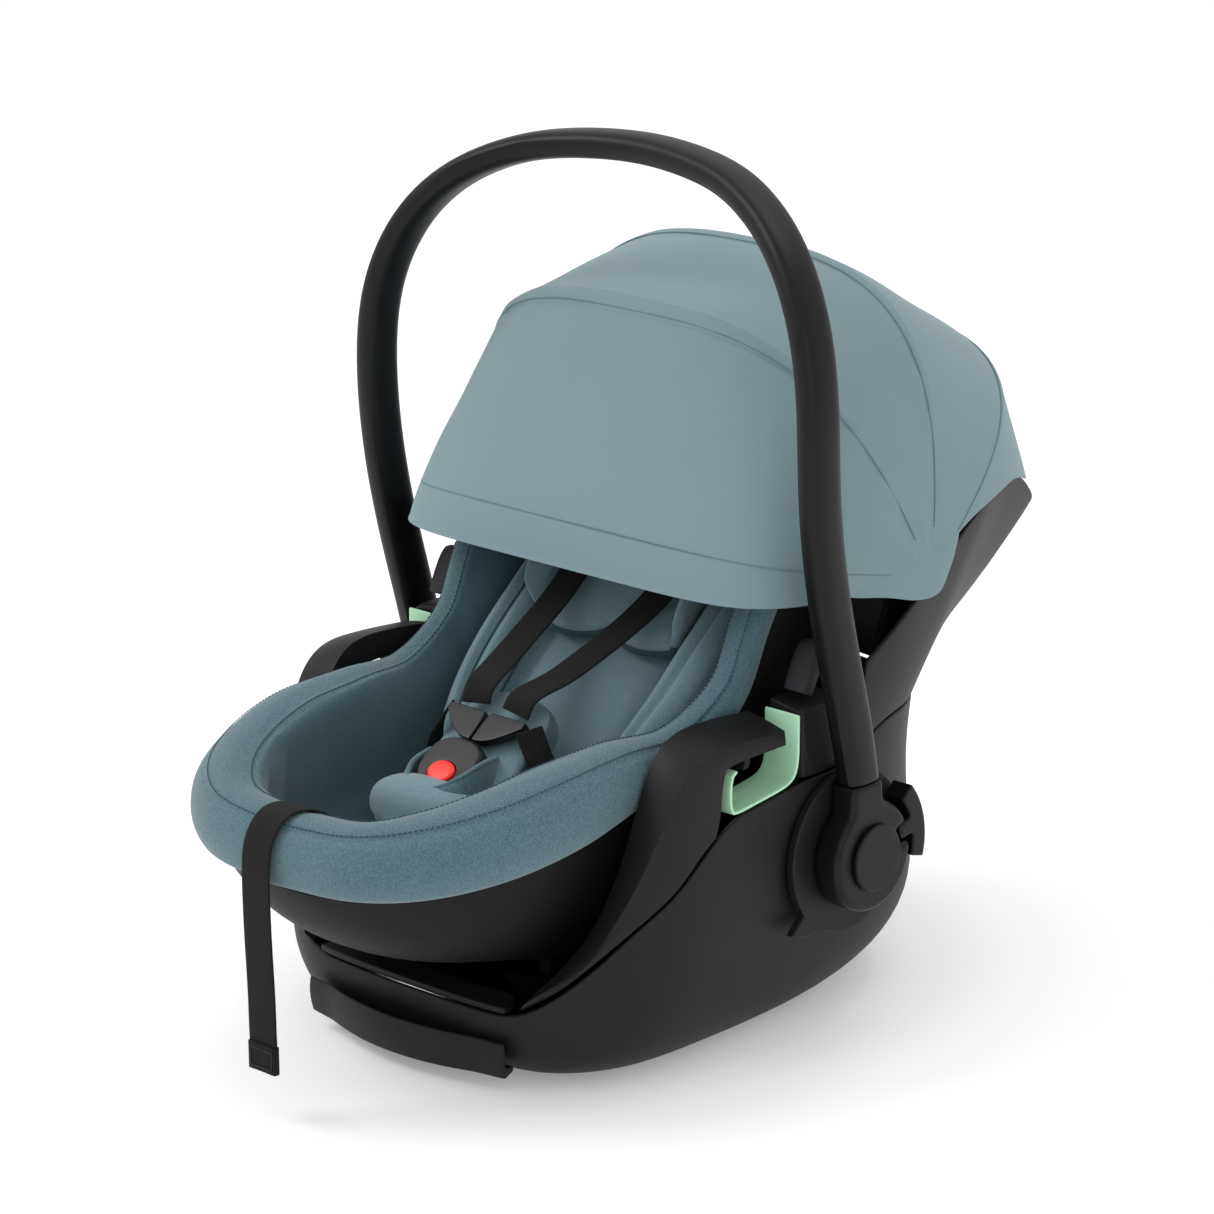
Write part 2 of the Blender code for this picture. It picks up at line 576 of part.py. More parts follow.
# Rim of the inner shell from the foot to the head (X, Y, Z), its outward direction (X, Y, Z)
# and the size of the fabric roll on it.
SEAT_RIM = (
    ((0.000, -0.3020, 0.1600), (0.0, -1.0, 0.0), 0.70),
    ((0.062, -0.2920, 0.1610), (0.35, -0.94, 0.0), 0.72),
    ((0.102, -0.2620, 0.1640), (0.72, -0.70, 0.0), 0.78),
    ((0.126, -0.2150, 0.1700), (0.93, -0.35, 0.0), 0.82),
    ((0.1350, -0.1600, 0.1790), (1.0, -0.06, 0.0), 0.82),
    ((0.1335, -0.1050, 0.1900), (1.0, 0.0, 0.0), 0.70),
    ((0.1340, -0.0450, 0.2050), (1.0, 0.0, 0.0), 0.48),
    ((0.1360, 0.0080, 0.2420), (1.0, 0.0, 0.0), 0.38),
    ((0.1370, 0.0360, 0.2950), (1.0, 0.0, 0.0), 0.38),
    ((0.1360, 0.0800, 0.3520), (1.0, 0.0, -0.05), 0.38),
    ((0.1310, 0.1450, 0.3960), (0.95, 0.1, -0.15), 0.38),
    ((0.1120, 0.2100, 0.4170), (0.75, 0.45, -0.35), 0.38),
    ((0.0650, 0.2500, 0.4260), (0.30, 0.75, -0.60), 0.38),
    ((0.000, 0.2600, 0.4280), (0.0, 0.78, -0.63), 0.38))

# Outline of the inner shell's bottom (X, Y, Z), from the foot to the head.
SEAT_BOTTOM = (
    (0.000, -0.1850, 0.0880), (0.045, -0.1800, 0.0870), (0.078, -0.1550, 0.0850), (0.092, -0.1150, 0.0830),
    (0.095, -0.0750, 0.0820), (0.095, -0.0400, 0.0820), (0.094, -0.0080, 0.0840), (0.092, 0.0180, 0.0880),
    (0.088, 0.0380, 0.0930), (0.080, 0.0540, 0.0980), (0.066, 0.0660, 0.1020), (0.046, 0.0740, 0.1050),
    (0.023, 0.0780, 0.1060), (0.000, 0.0790, 0.1065))
SEAT_COLUMNS = 17
SHELL_STEPS = (0.0, 0.15, 0.34, 0.56, 0.78, 1.0)   # rings of the shell from its bottom to its rim


def both_sides(half):
    """Close a half loop, which runs from the foot to the head, into a full one."""
    return np.vstack([half, half[-2:0:-1] * np.array((-1, 1, 1))])


def seat_rim():
    table = np.array([(*p, *o, roll) for p, o, roll in SEAT_RIM])
    half = spline(table, SEAT_COLUMNS)
    bottom = spline(SEAT_BOTTOM, SEAT_COLUMNS)
    rim, outward, roll = half[:, :3], half[:, 3:6], half[:, 6]
    tangent = unit(np.gradient(rim, axis=0))
    tangent[0] = (1, 0, 0)
    tangent[-1] = (-1, 0, 0)
    outward = unit(outward - tangent * np.sum(outward * tangent, axis=1, keepdims=True))
    up = np.cross(outward, tangent)
    return rim, bottom, outward, up, roll


def seat_wall(t, inset=0.0):
    """Ring of the inner shell at a share of the way from its bottom (0) to its rim (1)."""
    rim, bottom, outward, up, roll = seat_rim()
    chord = rim - bottom
    flat = chord.copy()
    flat[:, 2] = 0
    away = unit(flat + outward * 0.02)
    away = unit(away * chord[:, 2:3] / np.linalg.norm(chord, axis=1, keepdims=True)
                - np.array((0, 0, 1)) * np.linalg.norm(flat, axis=1, keepdims=True)
                / np.linalg.norm(chord, axis=1, keepdims=True))
    bulge = 0.16 * np.linalg.norm(flat, axis=1, keepdims=True) + 0.002
    wall = bottom + chord * t + away * bulge * 4 * t * (1 - t)
    wall = wall - away * inset * (1 - t) - outward * inset * t
    return both_sides(wall)


def build_seat_shell():
    rings = [seat_wall(t) for t in SHELL_STEPS]
    inner = [seat_wall(t, SHELL_WALL) for t in SHELL_STEPS]
    for t, ring in zip(SHELL_STEPS, inner):
        ring[:, 2] += SHELL_WALL * max(0, 0.3 - t) / 0.3
    rings += inner[::-1]
    ring_solid("seat_shell", rings, ("shell plastic", BLACK, 0.55), tips=((0, -0.05, 0.0800), (0, -0.05, 0.0840)))


# Section of the fabric roll: how far outwards and upwards each point lies from the rim.
ROLL_SECTION = ((0.0020, 0.0015), (0.0120, 0.0080), (0.0185, 0.0260), (0.0160, 0.0480), (0.0040, 0.0640),
                (-0.0120, 0.0700), (-0.0280, 0.0660), (-0.0400, 0.0560))


def build_seat_cover():
    """Padded cover: a thick roll round the rim and a quilted bucket inside the shell."""
    rim, bottom, outward, up, roll = seat_rim()
    rings = []
    clear = SHELL_WALL + 6 * GAP
    for t in SHELL_STEPS[:-1]:
        ring = seat_wall(t, clear)
        ring[:, 2] += 0.0055 * (1 - t)
        rings.append(ring)
    rings.append(both_sides(rim - outward * clear + up * 0.0004))
    for out, high in ROLL_SECTION:
        size = roll[:, None]
        rings.append(both_sides(rim + outward * out * np.minimum(1, size * 1.05) + up * (high * size + 0.0010)))
    for t in (0.80, 0.52, 0.26, 0.0):
        ring = seat_wall(t, clear + PAD_THICKNESS)
        ring[:, 2] += 0.0220 * (1 - t) ** 2
        rings.append(ring)
    return ring_solid("seat_cover", rings, ("cover fabric", TEAL, 0.9), tips=((0, -0.05, 0.0880), (0, -0.05, 0.1180)))


def tree_of(part):
    """Search tree of a part's surface, in design coordinates."""
    mesh = part.data
    points = [part.location + v.co + Vector((0, MIDDLE_Y, 0)) for v in mesh.vertices]
    return BVHTree.FromPolygons(points, [p.vertices[:] for p in mesh.polygons])


# Lying surface of the newborn insert on the seat's middle line (Y, Z), from the foot to the head.
LYING_LINE = ((-0.1180, 0.1500), (-0.0950, 0.1530), (-0.0600, 0.1700), (-0.0200, 0.2020), (0.0200, 0.2370),
              (0.0500, 0.2620), (0.1000, 0.3050), (0.1500, 0.3480), (0.1900, 0.3820))
FAN_Y, FAN_Z = -0.130, 0.480     # where the insert's thickness directions meet


def build_insert(cover):
    """Newborn insert, which fills the bucket under the lying surface and has side bolsters."""
    tree = tree_of(cover)
    line = spline(np.column_stack([np.zeros(len(LYING_LINE)), LYING_LINE]), 11)
    half_width = 0.104
    across = np.sin(np.linspace(-1, 1, 15) * math.pi / 2 * 0.86) / math.sin(math.pi / 2 * 0.86)
    top, under = [], []
    for k, middle in enumerate(line):
        fan = np.array((0, middle[1] - FAN_Y, middle[2] - FAN_Z))
        away = fan / np.linalg.norm(fan)
        width = half_width * (0.62 + 0.38 * math.sin(math.pi / 2 * min(1, k / 4)))
        ends = math.sin(math.pi * min(1, (k + 0.6) / 4) / 2) * math.sin(math.pi * min(1, (11 - k - 0.4) / 4) / 2)
        top_row, under_row = [], []
        for x in across * width:
            share = abs(x) / width
            bolster = 0.030 * ends * max(0, math.sin(math.pi * np.clip((share - 0.66) / 0.40, 0, 1))) ** 0.8
            start = Vector((x, FAN_Y, FAN_Z))
            hit = tree.ray_cast(start, Vector(away))[0]
            floor = np.array(hit) - away * 0.0052
            lying = np.array((x, middle[1], middle[2])) - away * (bolster - 0.004 * ends * (1 - share))
            deep = float(np.dot(floor - lying, away))
            if deep < 0.0040:
                lying = floor - away * 0.0040
            top_row.append(lying)
            under_row.append(floor)
        top.append(top_row)
        under.append(under_row)
    return patch_solid("newborn_insert", np.array(top), np.array(under), ("insert fabric", LIGHT_TEAL, 0.9))


def back_point(x, along, above):
    """Point over the lying surface: along it towards the head, and above it."""
    c, s = math.cos(BACK_SLOPE), math.sin(BACK_SLOPE)
    return np.array((x, BACK_FOOT[0] + along * c - above * s, BACK_FOOT[1] + along * s + above * c))


def build_headrest():
    """Headrest: a dished back plate and its cushion with two wings and two lower lobes."""
    plate = [back_point(0, a, h) for a, h in ((0.016, 0), (0.150, 0), (0.150, 0.0030), (0.016, 0.0030))]
    outline = [(p[1], p[2]) for p in (q + back_point(0, 0, HEADREST_LIFT) - back_point(0, 0, 0) for q in plate)]
    prism("headrest_plate", outline, -0.055, 0.055, ("hull plastic", BLACK, 0.52))
    across = np.linspace(-1, 1, 17) * HEADREST_HALF
    top, under = [], []
    for along in np.linspace(-0.022, 0.158, 8):
        middle = 1 - abs((along - 0.068) / 0.094) ** 4
        top_row, under_row = [], []
        for x in across:
            share = abs(x) / HEADREST_HALF
            lobe = 0.020 * math.exp(-((share - 0.42) / 0.20) ** 2) - 0.010
            reach = along - (lobe if along < 0.02 else 0)
            wing = 0.042 * np.clip((share - 0.82) / 0.16, 0, 1) ** 1.5 * (0.55 + 0.45 * middle)
            low = HEADREST_LIFT + 0.0034 + 0.75 * wing
            high = low + 0.006 + 0.012 * max(0, middle) * math.sqrt(max(0, 1 - share ** 6)) + 0.25 * wing
            under_row.append(back_point(x, reach, low))
            top_row.append(back_point(x, reach, high))
        top.append(top_row)
        under.append(under_row)
    patch_solid("headrest_pad", np.array(top), np.array(under), ("headrest fabric", LIGHT_TEAL, 0.9))


# ---------------------------------------------------------------- harness

BUCKLE_CENTRE = (0, -0.1400, 0.2060)
BUCKLE_TILT = math.radians(38)   # the buckle's face leans back from the horizontal by this much


def buckle_point(x, along, above):
    """Point in the buckle's own frame: along its face towards the head, and above the face."""
    c, s = math.cos(BUCKLE_TILT), math.sin(BUCKLE_TILT)
    return np.array((x, BUCKLE_CENTRE[1] + along * c - above * s, BUCKLE_CENTRE[2] + along * s + above * c))


def oval_rings(half_x, half_y, heights, shrink, count=20, shift=0.0, square=2.6):
    """Rings of a rounded oval in the buckle's frame, one for each height."""
    turn = np.linspace(0, 2 * math.pi, count, endpoint=False)
    power = 2 / square
    rings = []
    for height, less in zip(heights, shrink):
        ring = []
        for a in turn:
            x = (half_x - less) * math.copysign(abs(math.cos(a)) ** power, math.cos(a))
            y = (half_y - less) * math.copysign(abs(math.sin(a)) ** power, math.sin(a))
            ring.append(buckle_point(x, shift + y, height))
        rings.append(ring)
    return rings


def build_buckle():
    """Buckle housing with a well in its face, and the oval release button in the well."""
    outer = oval_rings(0.0250, 0.0225, (-0.0180, -0.0150, -0.0030, 0.0), (0.0055, 0.0010, 0.0, 0.0024))
    well = oval_rings(0.0122, 0.0096, (0.0, -0.0090), (0.0, 0.0), shift=-0.0085, square=2.0)
    ring_solid("buckle_housing", outer + well, ("buckle plastic", BLACK, 0.42))
    button = oval_rings(0.0116, 0.0090, (-0.0050, -0.0050 + 0.0060, 0.0022), (0.0, 0.0, 0.0020),
                        shift=-0.0085, square=2.0)
    ring_solid("buckle_button", button, ("button red", RED, 0.38))


def build_tongue(name, side):
    """Metal-cored tongue beside its fellow, between the buckle and a shoulder strap."""
    outline = ((0.0010, 0.0237), (0.0110, 0.0237), (0.0230, 0.0310), (0.0350, 0.0420), (0.0350, 0.0480),
               (0.0030, 0.0480), (0.0010, 0.0400))
    low = [buckle_point(side * x, a, -0.0110) for x, a in outline]
    high = [buckle_point(side * x, a, -0.0040) for x, a in outline]
    ring_solid(name, [low, high], ("buckle plastic", BLACK, 0.42))


def build_crotch_pad(cover):
    """Crotch pad: a rounded cushion between the bucket and the buckle."""
    tree = tree_of(cover)
    lid_point = buckle_point(0, 0, -0.0200)
    turn = np.linspace(0, 2 * math.pi, 20, endpoint=False)
    middle = tree.ray_cast(Vector((0, -0.172, 0.40)), Vector((0, 0, -1)))[0].z
    rings = []
    for rise, half_x, half_y, middle_y in ((0.0, 0.036, 0.040, -0.172), (0.15, 0.043, 0.047, -0.170),
                                           (0.5, 0.044, 0.046, -0.163), (0.85, 0.038, 0.036, -0.152),
                                           (1.0, 0.030, 0.027, -0.148)):
        ring = []
        for a in turn:
            x, y = half_x * math.cos(a), middle_y + half_y * math.sin(a)
            floor = max(middle, tree.ray_cast(Vector((x, y, 0.40)), Vector((0, 0, -1)))[0].z) + 0.0040
            lid = lid_point[2] + (y - lid_point[1]) * math.tan(BUCKLE_TILT)
            ring.append((x, y, floor + (max(lid, floor + 0.0070) - floor) * rise))
        rings.append(ring)
    ring_solid("crotch_pad", rings, ("insert fabric", LIGHT_TEAL, 0.9))


def build_straps():
    """Shoulder straps, lap straps and the strap that holds the buckle."""
    for word, side in (("right", 1), ("left", -1)):
        start = buckle_point(0.0185, 0.0535, -0.0078)
        lift = HEADREST_LIFT + 0.0290
        route = [start, buckle_point(0.0210, 0.068, -0.004), (0.0290, -0.0500, 0.2560),
                 back_point(0.0380, -0.0150, lift + 0.004), back_point(0.0425, 0.0300, lift),
                 back_point(0.0430, 0.0800, lift), back_point(0.0430, 0.1250, lift)]
        strap(f"shoulder_strap_{word}", spline(route, 18), SHOULDER_WIDTH, ("webbing", WEB_BLACK, 0.85),
              side=side)
        lap = [buckle_point(0.0378, 0.0450, -0.0078), (0.0500, -0.1000, 0.2120), (0.0585, -0.0950, 0.1960),
               (0.0610, -0.0920, 0.1800)]
        strap(f"lap_strap_{word}", spline(lap, 8), LAP_WIDTH, ("webbing", WEB_BLACK, 0.85),
              reference=(0, 0.75, 0.65), side=side)


# Route of the strap that hangs from the foot end (Y, Z), on the seat's middle line.
ADJUSTER_ROUTE = ((-0.2520, 0.1900), (-0.2580, 0.1975), (-0.2650, 0.2035), (-0.2740, 0.2085),
                  (-0.2840, 0.2118), (-0.2940, 0.2128), (-0.3035, 0.2105), (-0.3115, 0.2040),
                  (-0.3170, 0.1945), (-0.3195, 0.1820), (-0.3200, 0.1660), (-0.3197, 0.1450),
                  (-0.3190, 0.1250), (-0.3180, 0.1050), (-0.3172, 0.0850), (-0.3168, 0.0650),
                  (-0.3165, 0.0540))


def build_adjuster(cover):
    """Harness adjuster on the bucket's front wall, its pull strap and the strap's sewn end."""
    start = Vector((0, -0.200, 0.215))
    hit, normal = tree_of(cover).ray_cast(start, Vector((0, -0.0620, -0.0420)))[:2]
    hit, normal = np.array(hit), np.array(normal)
    along = np.cross(normal, (1, 0, 0))
    along *= math.copysign(1, along[2])
    corners = ((-0.0130, 0.0040), (0.0100, 0.0040), (0.0110, 0.0080), (0.0060, 0.0120), (-0.0130, 0.0100))
    outline = [tuple((hit + along * a + normal * n)[1:]) for a, n in corners]
    prism("harness_adjuster", outline, -0.0165, 0.0165, ("buckle plastic", BLACK, 0.42))
    route = [(0, y, z) for y, z in ADJUSTER_ROUTE]
    strap("adjuster_strap", route, ADJUSTER_WIDTH, ("webbing", WEB_BLACK, 0.85))
    end = [(0, -0.3165, 0.0536), (0, -0.3164, 0.0440), (0, -0.3164, 0.0340)]
    strap("strap_end", end, ADJUSTER_WIDTH, ("webbing", WEB_BLACK, 0.85), thickness=0.0056)


# ---------------------------------------------------------------- recline

RECLINE_Y, RECLINE_Z = 0.0, 0.460
RAIL_RADIUS = 0.4180             # running surface of the rails, about the recline axis
RAIL_X = (0.0480, 0.0580)


def running_arc(radius, start, end, count=12):
    """Arc about the recline axis, in degrees from straight down, towards the head."""
    angles = [math.radians(a) for a in np.linspace(start, end, count)]
    return [(RECLINE_Y + radius * math.sin(a), RECLINE_Z - radius * math.cos(a)) for a in angles]


def build_recline():
    """Two curved rails in the hull, the seat's two runners on them, and the two anchor bars."""
    foot = HULL_FLOOR + 0.0012
    for word, side in (("right", 1), ("left", -1)):
        rail = running_arc(RAIL_RADIUS, -19, 9) + [(0.0640, foot + 0.015), (0.0560, foot), (-0.1040, foot)]
        prism(f"recline_rail_{word}", rail, *RAIL_X, ("rail plastic", DARK_GREY, 0.5), side=side)
        runner = running_arc(RAIL_RADIUS - 0.0008, -14, -3) + [(-0.0200, 0.0775), (-0.1010, 0.0775)]
        prism(f"recline_runner_{word}", runner, *RAIL_X, ("rail plastic", DARK_GREY, 0.5), side=side)
    bar = disc(0.0050, 12, (-0.1280, 0.0230))
    prism("front_bar", bar, -0.1300, 0.1300, ("steel", STEEL, 0.30, 1.0))
    bar = disc(0.0050, 12, (0.1150, 0.0260))
    prism("rear_bar", bar, -0.1300, 0.1300, ("steel", STEEL, 0.30, 1.0))


# ---------------------------------------------------------------- canopy

def canopy_radius(angle):
    """Height of the canopy's arch at an angle, with the cloth drawn in between the bows."""
    angles = (3, 20, 36, 50, 61, 70, 78, 87, 96, 107, 118, 130, 140, 152, 166)
    radii = (0.1820, 0.1720, 0.1730, 0.1890, 0.2130, 0.2030, 0.2000, 0.2020, 0.2090, 0.1990, 0.1940,
             0.1980, 0.2050, 0.1980, 0.1990)
    return np.interp(angle, angles, radii)


def canopy_point(turn, angle, inset=0.0, half=CANOPY_HALF_WIDTH):
    """Point of the arch at a turn from the crown (0) to the hinge (pi/2)."""
    square = np.interp(angle, *CANOPY_SQUARENESS)
    power = 2 / square
    rise = (canopy_radius(angle) - inset) * abs(math.cos(turn)) ** power
    x = (half - inset) * math.copysign(abs(math.sin(turn)) ** power, turn)
    a = math.radians(angle)
    return np.array((x, CANOPY_Y - rise * math.cos(a), CANOPY_Z + rise * math.sin(a)))


def canopy_foot(angle):
    """Height over the hinge where the cloth ends: it stays above the back shell's edge."""
    return np.interp(angle, (110, 120, 140, 151, 158, 166), (0.022, 0.034, 0.064, 0.104, 0.142, 0.172))


def canopy_turns(angle, count=17, foot=0.022):
    """Turns spaced evenly along the arch, down to a small height over the hinge."""
    square = np.interp(angle, *CANOPY_SQUARENESS)
    last = math.acos((foot / canopy_radius(angle)) ** (square / 2))
    dense = np.linspace(0, last, 400)
    line = np.array([canopy_point(t, angle) for t in dense])
    length = np.concatenate([[0], np.cumsum(np.linalg.norm(np.diff(line, axis=0), axis=1))])
    half = np.interp(np.linspace(0, length[-1], (count + 1) // 2), length, dense)
    return np.concatenate([-half[:0:-1], half])


def build_canopy_panel(name, start, end, columns):
    """One stretch of canopy cloth, between two bows."""
    trim = 0.4
    outer, inner = [], []
    for angle in np.linspace(start + trim, end - trim, columns):
        turns = canopy_turns(angle, foot=canopy_foot(angle))
        outer.append([canopy_point(t, angle) for t in turns])
        inner.append([canopy_point(t, angle, CANOPY_CLOTH) for t in turns])
    patch_solid(name, np.array(outer), np.array(inner), ("canopy fabric", CANOPY_BLUE, 0.85),
                (0, CANOPY_Y, CANOPY_Z))


def build_bow(name, angle, half):
    """Flat spring bow of the canopy, ending in round eyes at the hinge."""
    turns = canopy_turns(angle, 25, 0.010)
    inset = CANOPY_CLOTH + 0.0070
    path = [canopy_point(t, angle, inset, half + inset) for t in turns]
    path = np.array(path)
    forward = np.array((0, math.sin(math.radians(angle)), math.cos(math.radians(angle))))
    tangent, across, normal = frames_along(path, forward)
    rings = []
    for p, a, n in zip(path, across, normal):
        rings.append([p + a * 0.0035 * u + n * 0.0018 * v for u, v in ((-1, -1), (1, -1), (1, 1), (-1, 1))])
    return ring_solid(name, rings, ("bow plastic", DARK_GREY, 0.5), (0, CANOPY_Y, CANOPY_Z))


def build_canopy():
    names = ("canopy_bow_front", "canopy_bow_middle", "canopy_bow_rear")
    for name, angle, half in zip(names, BOW_ANGLES, BOW_LAYERS):
        build_bow(name, angle, half)
    build_canopy_panel("canopy_front_panel", BOW_ANGLES[0], BOW_ANGLES[1], 7)
    build_canopy_panel("canopy_middle_panel", BOW_ANGLES[1], BOW_ANGLES[2], 5)
    build_canopy_panel("canopy_rear_panel", BOW_ANGLES[2], TAIL_ANGLE, 8)
    for word, side in (("right", 1), ("left", -1)):
        outline = [(0.0820, 0.1600), (0.1200, 0.1600), (0.1560, 0.2600)]
        outline += disc(0.0120, 16, (CANOPY_Y, CANOPY_Z))[14:] + disc(0.0120, 16, (CANOPY_Y, CANOPY_Z))[:10]
        prism(f"canopy_bracket_{word}", outline, 0.1560, 0.1610, ("hull plastic", BLACK, 0.52), side=side)


def main():
    for old in list(bpy.data.objects):
        bpy.data.objects.remove(old, do_unlink=True)
    build_hull()
    build_front_rim()
    build_front_lip()
    build_back_shell()
    for word, side in (("right", 1), ("left", -1)):
        build_side_band(f"side_band_{word}", side)
        build_belt_guide(f"belt_guide_{word}", side)
        build_belt_tab(f"belt_tab_{word}", side)
        build_guide_post(f"guide_post_{word}", side)
        build_lever(f"release_lever_{word}", side)
        build_hub_ring(f"hub_ring_{word}", side)
        build_axle(f"handle_axle_{word}", side)
        build_hub(f"handle_hub_{word}", side)
        build_hub_cap(f"hub_cap_{word}", side)
        build_button(f"handle_button_{word}", side)
        build_tongue(f"tongue_{word}", side)
    build_handle()
    build_recline()
    build_seat_shell()
    cover = build_seat_cover()
    build_insert(cover)
    build_headrest()
    build_buckle()
    build_crotch_pad(cover)
    build_straps()
    build_adjuster(cover)
    build_canopy()


main()
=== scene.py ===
import json
import math

import bmesh
import bpy
import numpy as np
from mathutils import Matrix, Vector, noise
from mathutils.bvhtree import BVHTree


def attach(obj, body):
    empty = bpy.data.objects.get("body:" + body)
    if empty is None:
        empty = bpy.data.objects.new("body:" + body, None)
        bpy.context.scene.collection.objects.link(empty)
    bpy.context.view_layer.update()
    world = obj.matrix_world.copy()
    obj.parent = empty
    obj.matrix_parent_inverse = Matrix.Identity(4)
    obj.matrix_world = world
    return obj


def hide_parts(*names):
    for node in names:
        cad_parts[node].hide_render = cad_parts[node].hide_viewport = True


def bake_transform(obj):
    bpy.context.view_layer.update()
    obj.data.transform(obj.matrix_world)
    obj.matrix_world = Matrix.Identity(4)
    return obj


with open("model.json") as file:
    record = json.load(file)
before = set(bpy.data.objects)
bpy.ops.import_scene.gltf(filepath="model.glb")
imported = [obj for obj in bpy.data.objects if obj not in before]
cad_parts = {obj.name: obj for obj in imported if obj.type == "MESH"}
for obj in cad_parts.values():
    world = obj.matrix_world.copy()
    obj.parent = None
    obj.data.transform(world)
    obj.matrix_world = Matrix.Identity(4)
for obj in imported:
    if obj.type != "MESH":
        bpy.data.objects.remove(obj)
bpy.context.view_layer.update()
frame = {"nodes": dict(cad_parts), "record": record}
nodes = frame["nodes"]
midY = 0.0184                      # the frame's origin, along the seat


# curves, grids and meshes

def splineStep(before, start, end, after, t):
    a = 2 * start
    b = end - before
    c = 2 * before - 5 * start + 4 * end - after
    d = -before + 3 * start - 3 * end + after
    return 0.5 * (a + b * t + c * t * t + d * t ** 3)


def splineRows(p, steps):
    return [splineStep(*p[i - 1:i + 3], t) for i in range(1, len(p) - 2)
            for t in np.linspace(0, 1, steps, endpoint=False)]


def pathLengths(points):
    steps = np.linalg.norm(np.diff(points[:, :3], axis=0), axis=1)
    return np.concatenate([[0], np.cumsum(steps)])


def evenlySpaced(dense, count, closed=False):
    length = pathLengths(dense)
    at = np.linspace(0, length[-1], count, endpoint=not closed)
    return np.stack([np.interp(at, length, dense[:, k]) for k in range(dense.shape[1])], axis=1)


def withEnds(points):
    p = np.asarray(points, float)
    return np.concatenate([2 * p[:1] - p[1:2], p, 2 * p[-1:] - p[-2:-1]])


splineSteps = 24                   # points laid between two given ones before a line is spaced out


def curveThrough(points, count):
    p = withEnds(points)
    return evenlySpaced(np.array(splineRows(p, splineSteps) + [p[-2]]), count)


def closedLoop(points, count):
    p = np.asarray(points, float)
    dense = np.array(splineRows(np.vstack([p[-1:], p, p[:2]]), splineSteps))
    return evenlySpaced(np.vstack([dense, dense[:1]]), count, closed=True)


def unit(v):
    return v / np.maximum(np.linalg.norm(v, axis=-1, keepdims=True), 1e-12)


def toFrame(points):
    return np.asarray(points, float) - np.array((0, midY, 0))


def meshPiece(name, points, faces, finish, smooth=True):
    mesh = bpy.data.meshes.new(name)
    mesh.from_pydata([tuple(p) for p in points], [], [tuple(f) for f in faces])
    work = bmesh.new()
    work.from_mesh(mesh)
    bmesh.ops.remove_doubles(work, verts=work.verts, dist=1e-6)
    bmesh.ops.recalc_face_normals(work, faces=work.faces)
    work.to_mesh(mesh)
    work.free()
    mesh.polygons.foreach_set("use_smooth", [smooth] * len(mesh.polygons))
    mesh.materials.append(finish)
    piece = bpy.data.objects.new(name, mesh)
    bpy.context.scene.collection.objects.link(piece)
    return piece


def ringFaces(count, rings, closed=True):
    faces = []
    for r in range(rings - 1):
        for i in range(count if closed else count - 1):
            j = (i + 1) % count
            faces.append((r * count + i, r * count + j, (r + 1) * count + j, (r + 1) * count + i))
    return faces


def tubePiece(name, rings, finish, tips=(None, None)):
    count = len(rings[0])
    points = [p for ring in rings for p in ring]
    faces = ringFaces(count, len(rings))
    for ring, first, tip in ((rings[0], 0, tips[0]), (rings[-1], (len(rings) - 1) * count, tips[1])):
        points.append(np.mean(ring, axis=0) if tip is None else tip)
        faces += [(first + i, first + (i + 1) % count, len(points) - 1) for i in range(count)]
    return meshPiece(name, points, faces, finish)


def settled(piece):
    graph = bpy.context.evaluated_depsgraph_get()
    mesh = bpy.data.meshes.new_from_object(piece.evaluated_get(graph), depsgraph=graph)
    old = piece.data
    piece.modifiers.clear()
    piece.data = mesh
    bpy.data.meshes.remove(old)
    mesh.name = piece.name
    return piece


def addSubdivision(piece, levels):
    fine = piece.modifiers.new("fine", "SUBSURF")
    fine.levels = fine.render_levels = levels
    return fine


def cadTree(node):
    mesh = nodes[node].data
    return BVHTree.FromPolygons([v.co.copy() for v in mesh.vertices], [p.vertices[:] for p in mesh.polygons])


def mounted(piece, body, node=None):
    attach(piece, body)
    if node:
        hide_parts(node)
    return piece


# shader node groups

def newGroup(name, inputs, outputs):
    group = bpy.data.node_groups.new(name, "ShaderNodeTree")
    for label, kind, value in inputs:
        made = group.interface.new_socket(name=label, in_out="INPUT", socket_type=kind)
        made.default_value = value
    for label, kind in outputs:
        group.interface.new_socket(name=label, in_out="OUTPUT", socket_type=kind)
    return group, group.nodes.new("NodeGroupInput"), group.nodes.new("NodeGroupOutput")


def addNode(tree, kind, links, **values):
    node = tree.nodes.new(kind)
    for key, value in values.items():
        if key.startswith("in_"):
            label = key[3:].replace("_", " ")
            node.inputs[int(label) if label.isdigit() else label].default_value = value
        else:
            setattr(node, key, value)
    for label, source in links.items():
        tree.links.new(source, node.inputs[label])
    return node


def mathNode(tree, operation, *values, clamp=False):
    node = tree.nodes.new("ShaderNodeMath")
    node.operation, node.use_clamp = operation, clamp
    for index, value in enumerate(values):
        if isinstance(value, (int, float)):
            node.inputs[index].default_value = value
        else:
            tree.links.new(value, node.inputs[index])
    return node.outputs[0]


def colourMix(tree, share, dark, light):
    mix = tree.nodes.new("ShaderNodeMix")
    mix.data_type = "RGBA"
    for index, source in ((0, share), (6, dark), (7, light)):      # factor and the two colour sockets
        tree.links.new(source, mix.inputs[index])
    return mix.outputs[2]


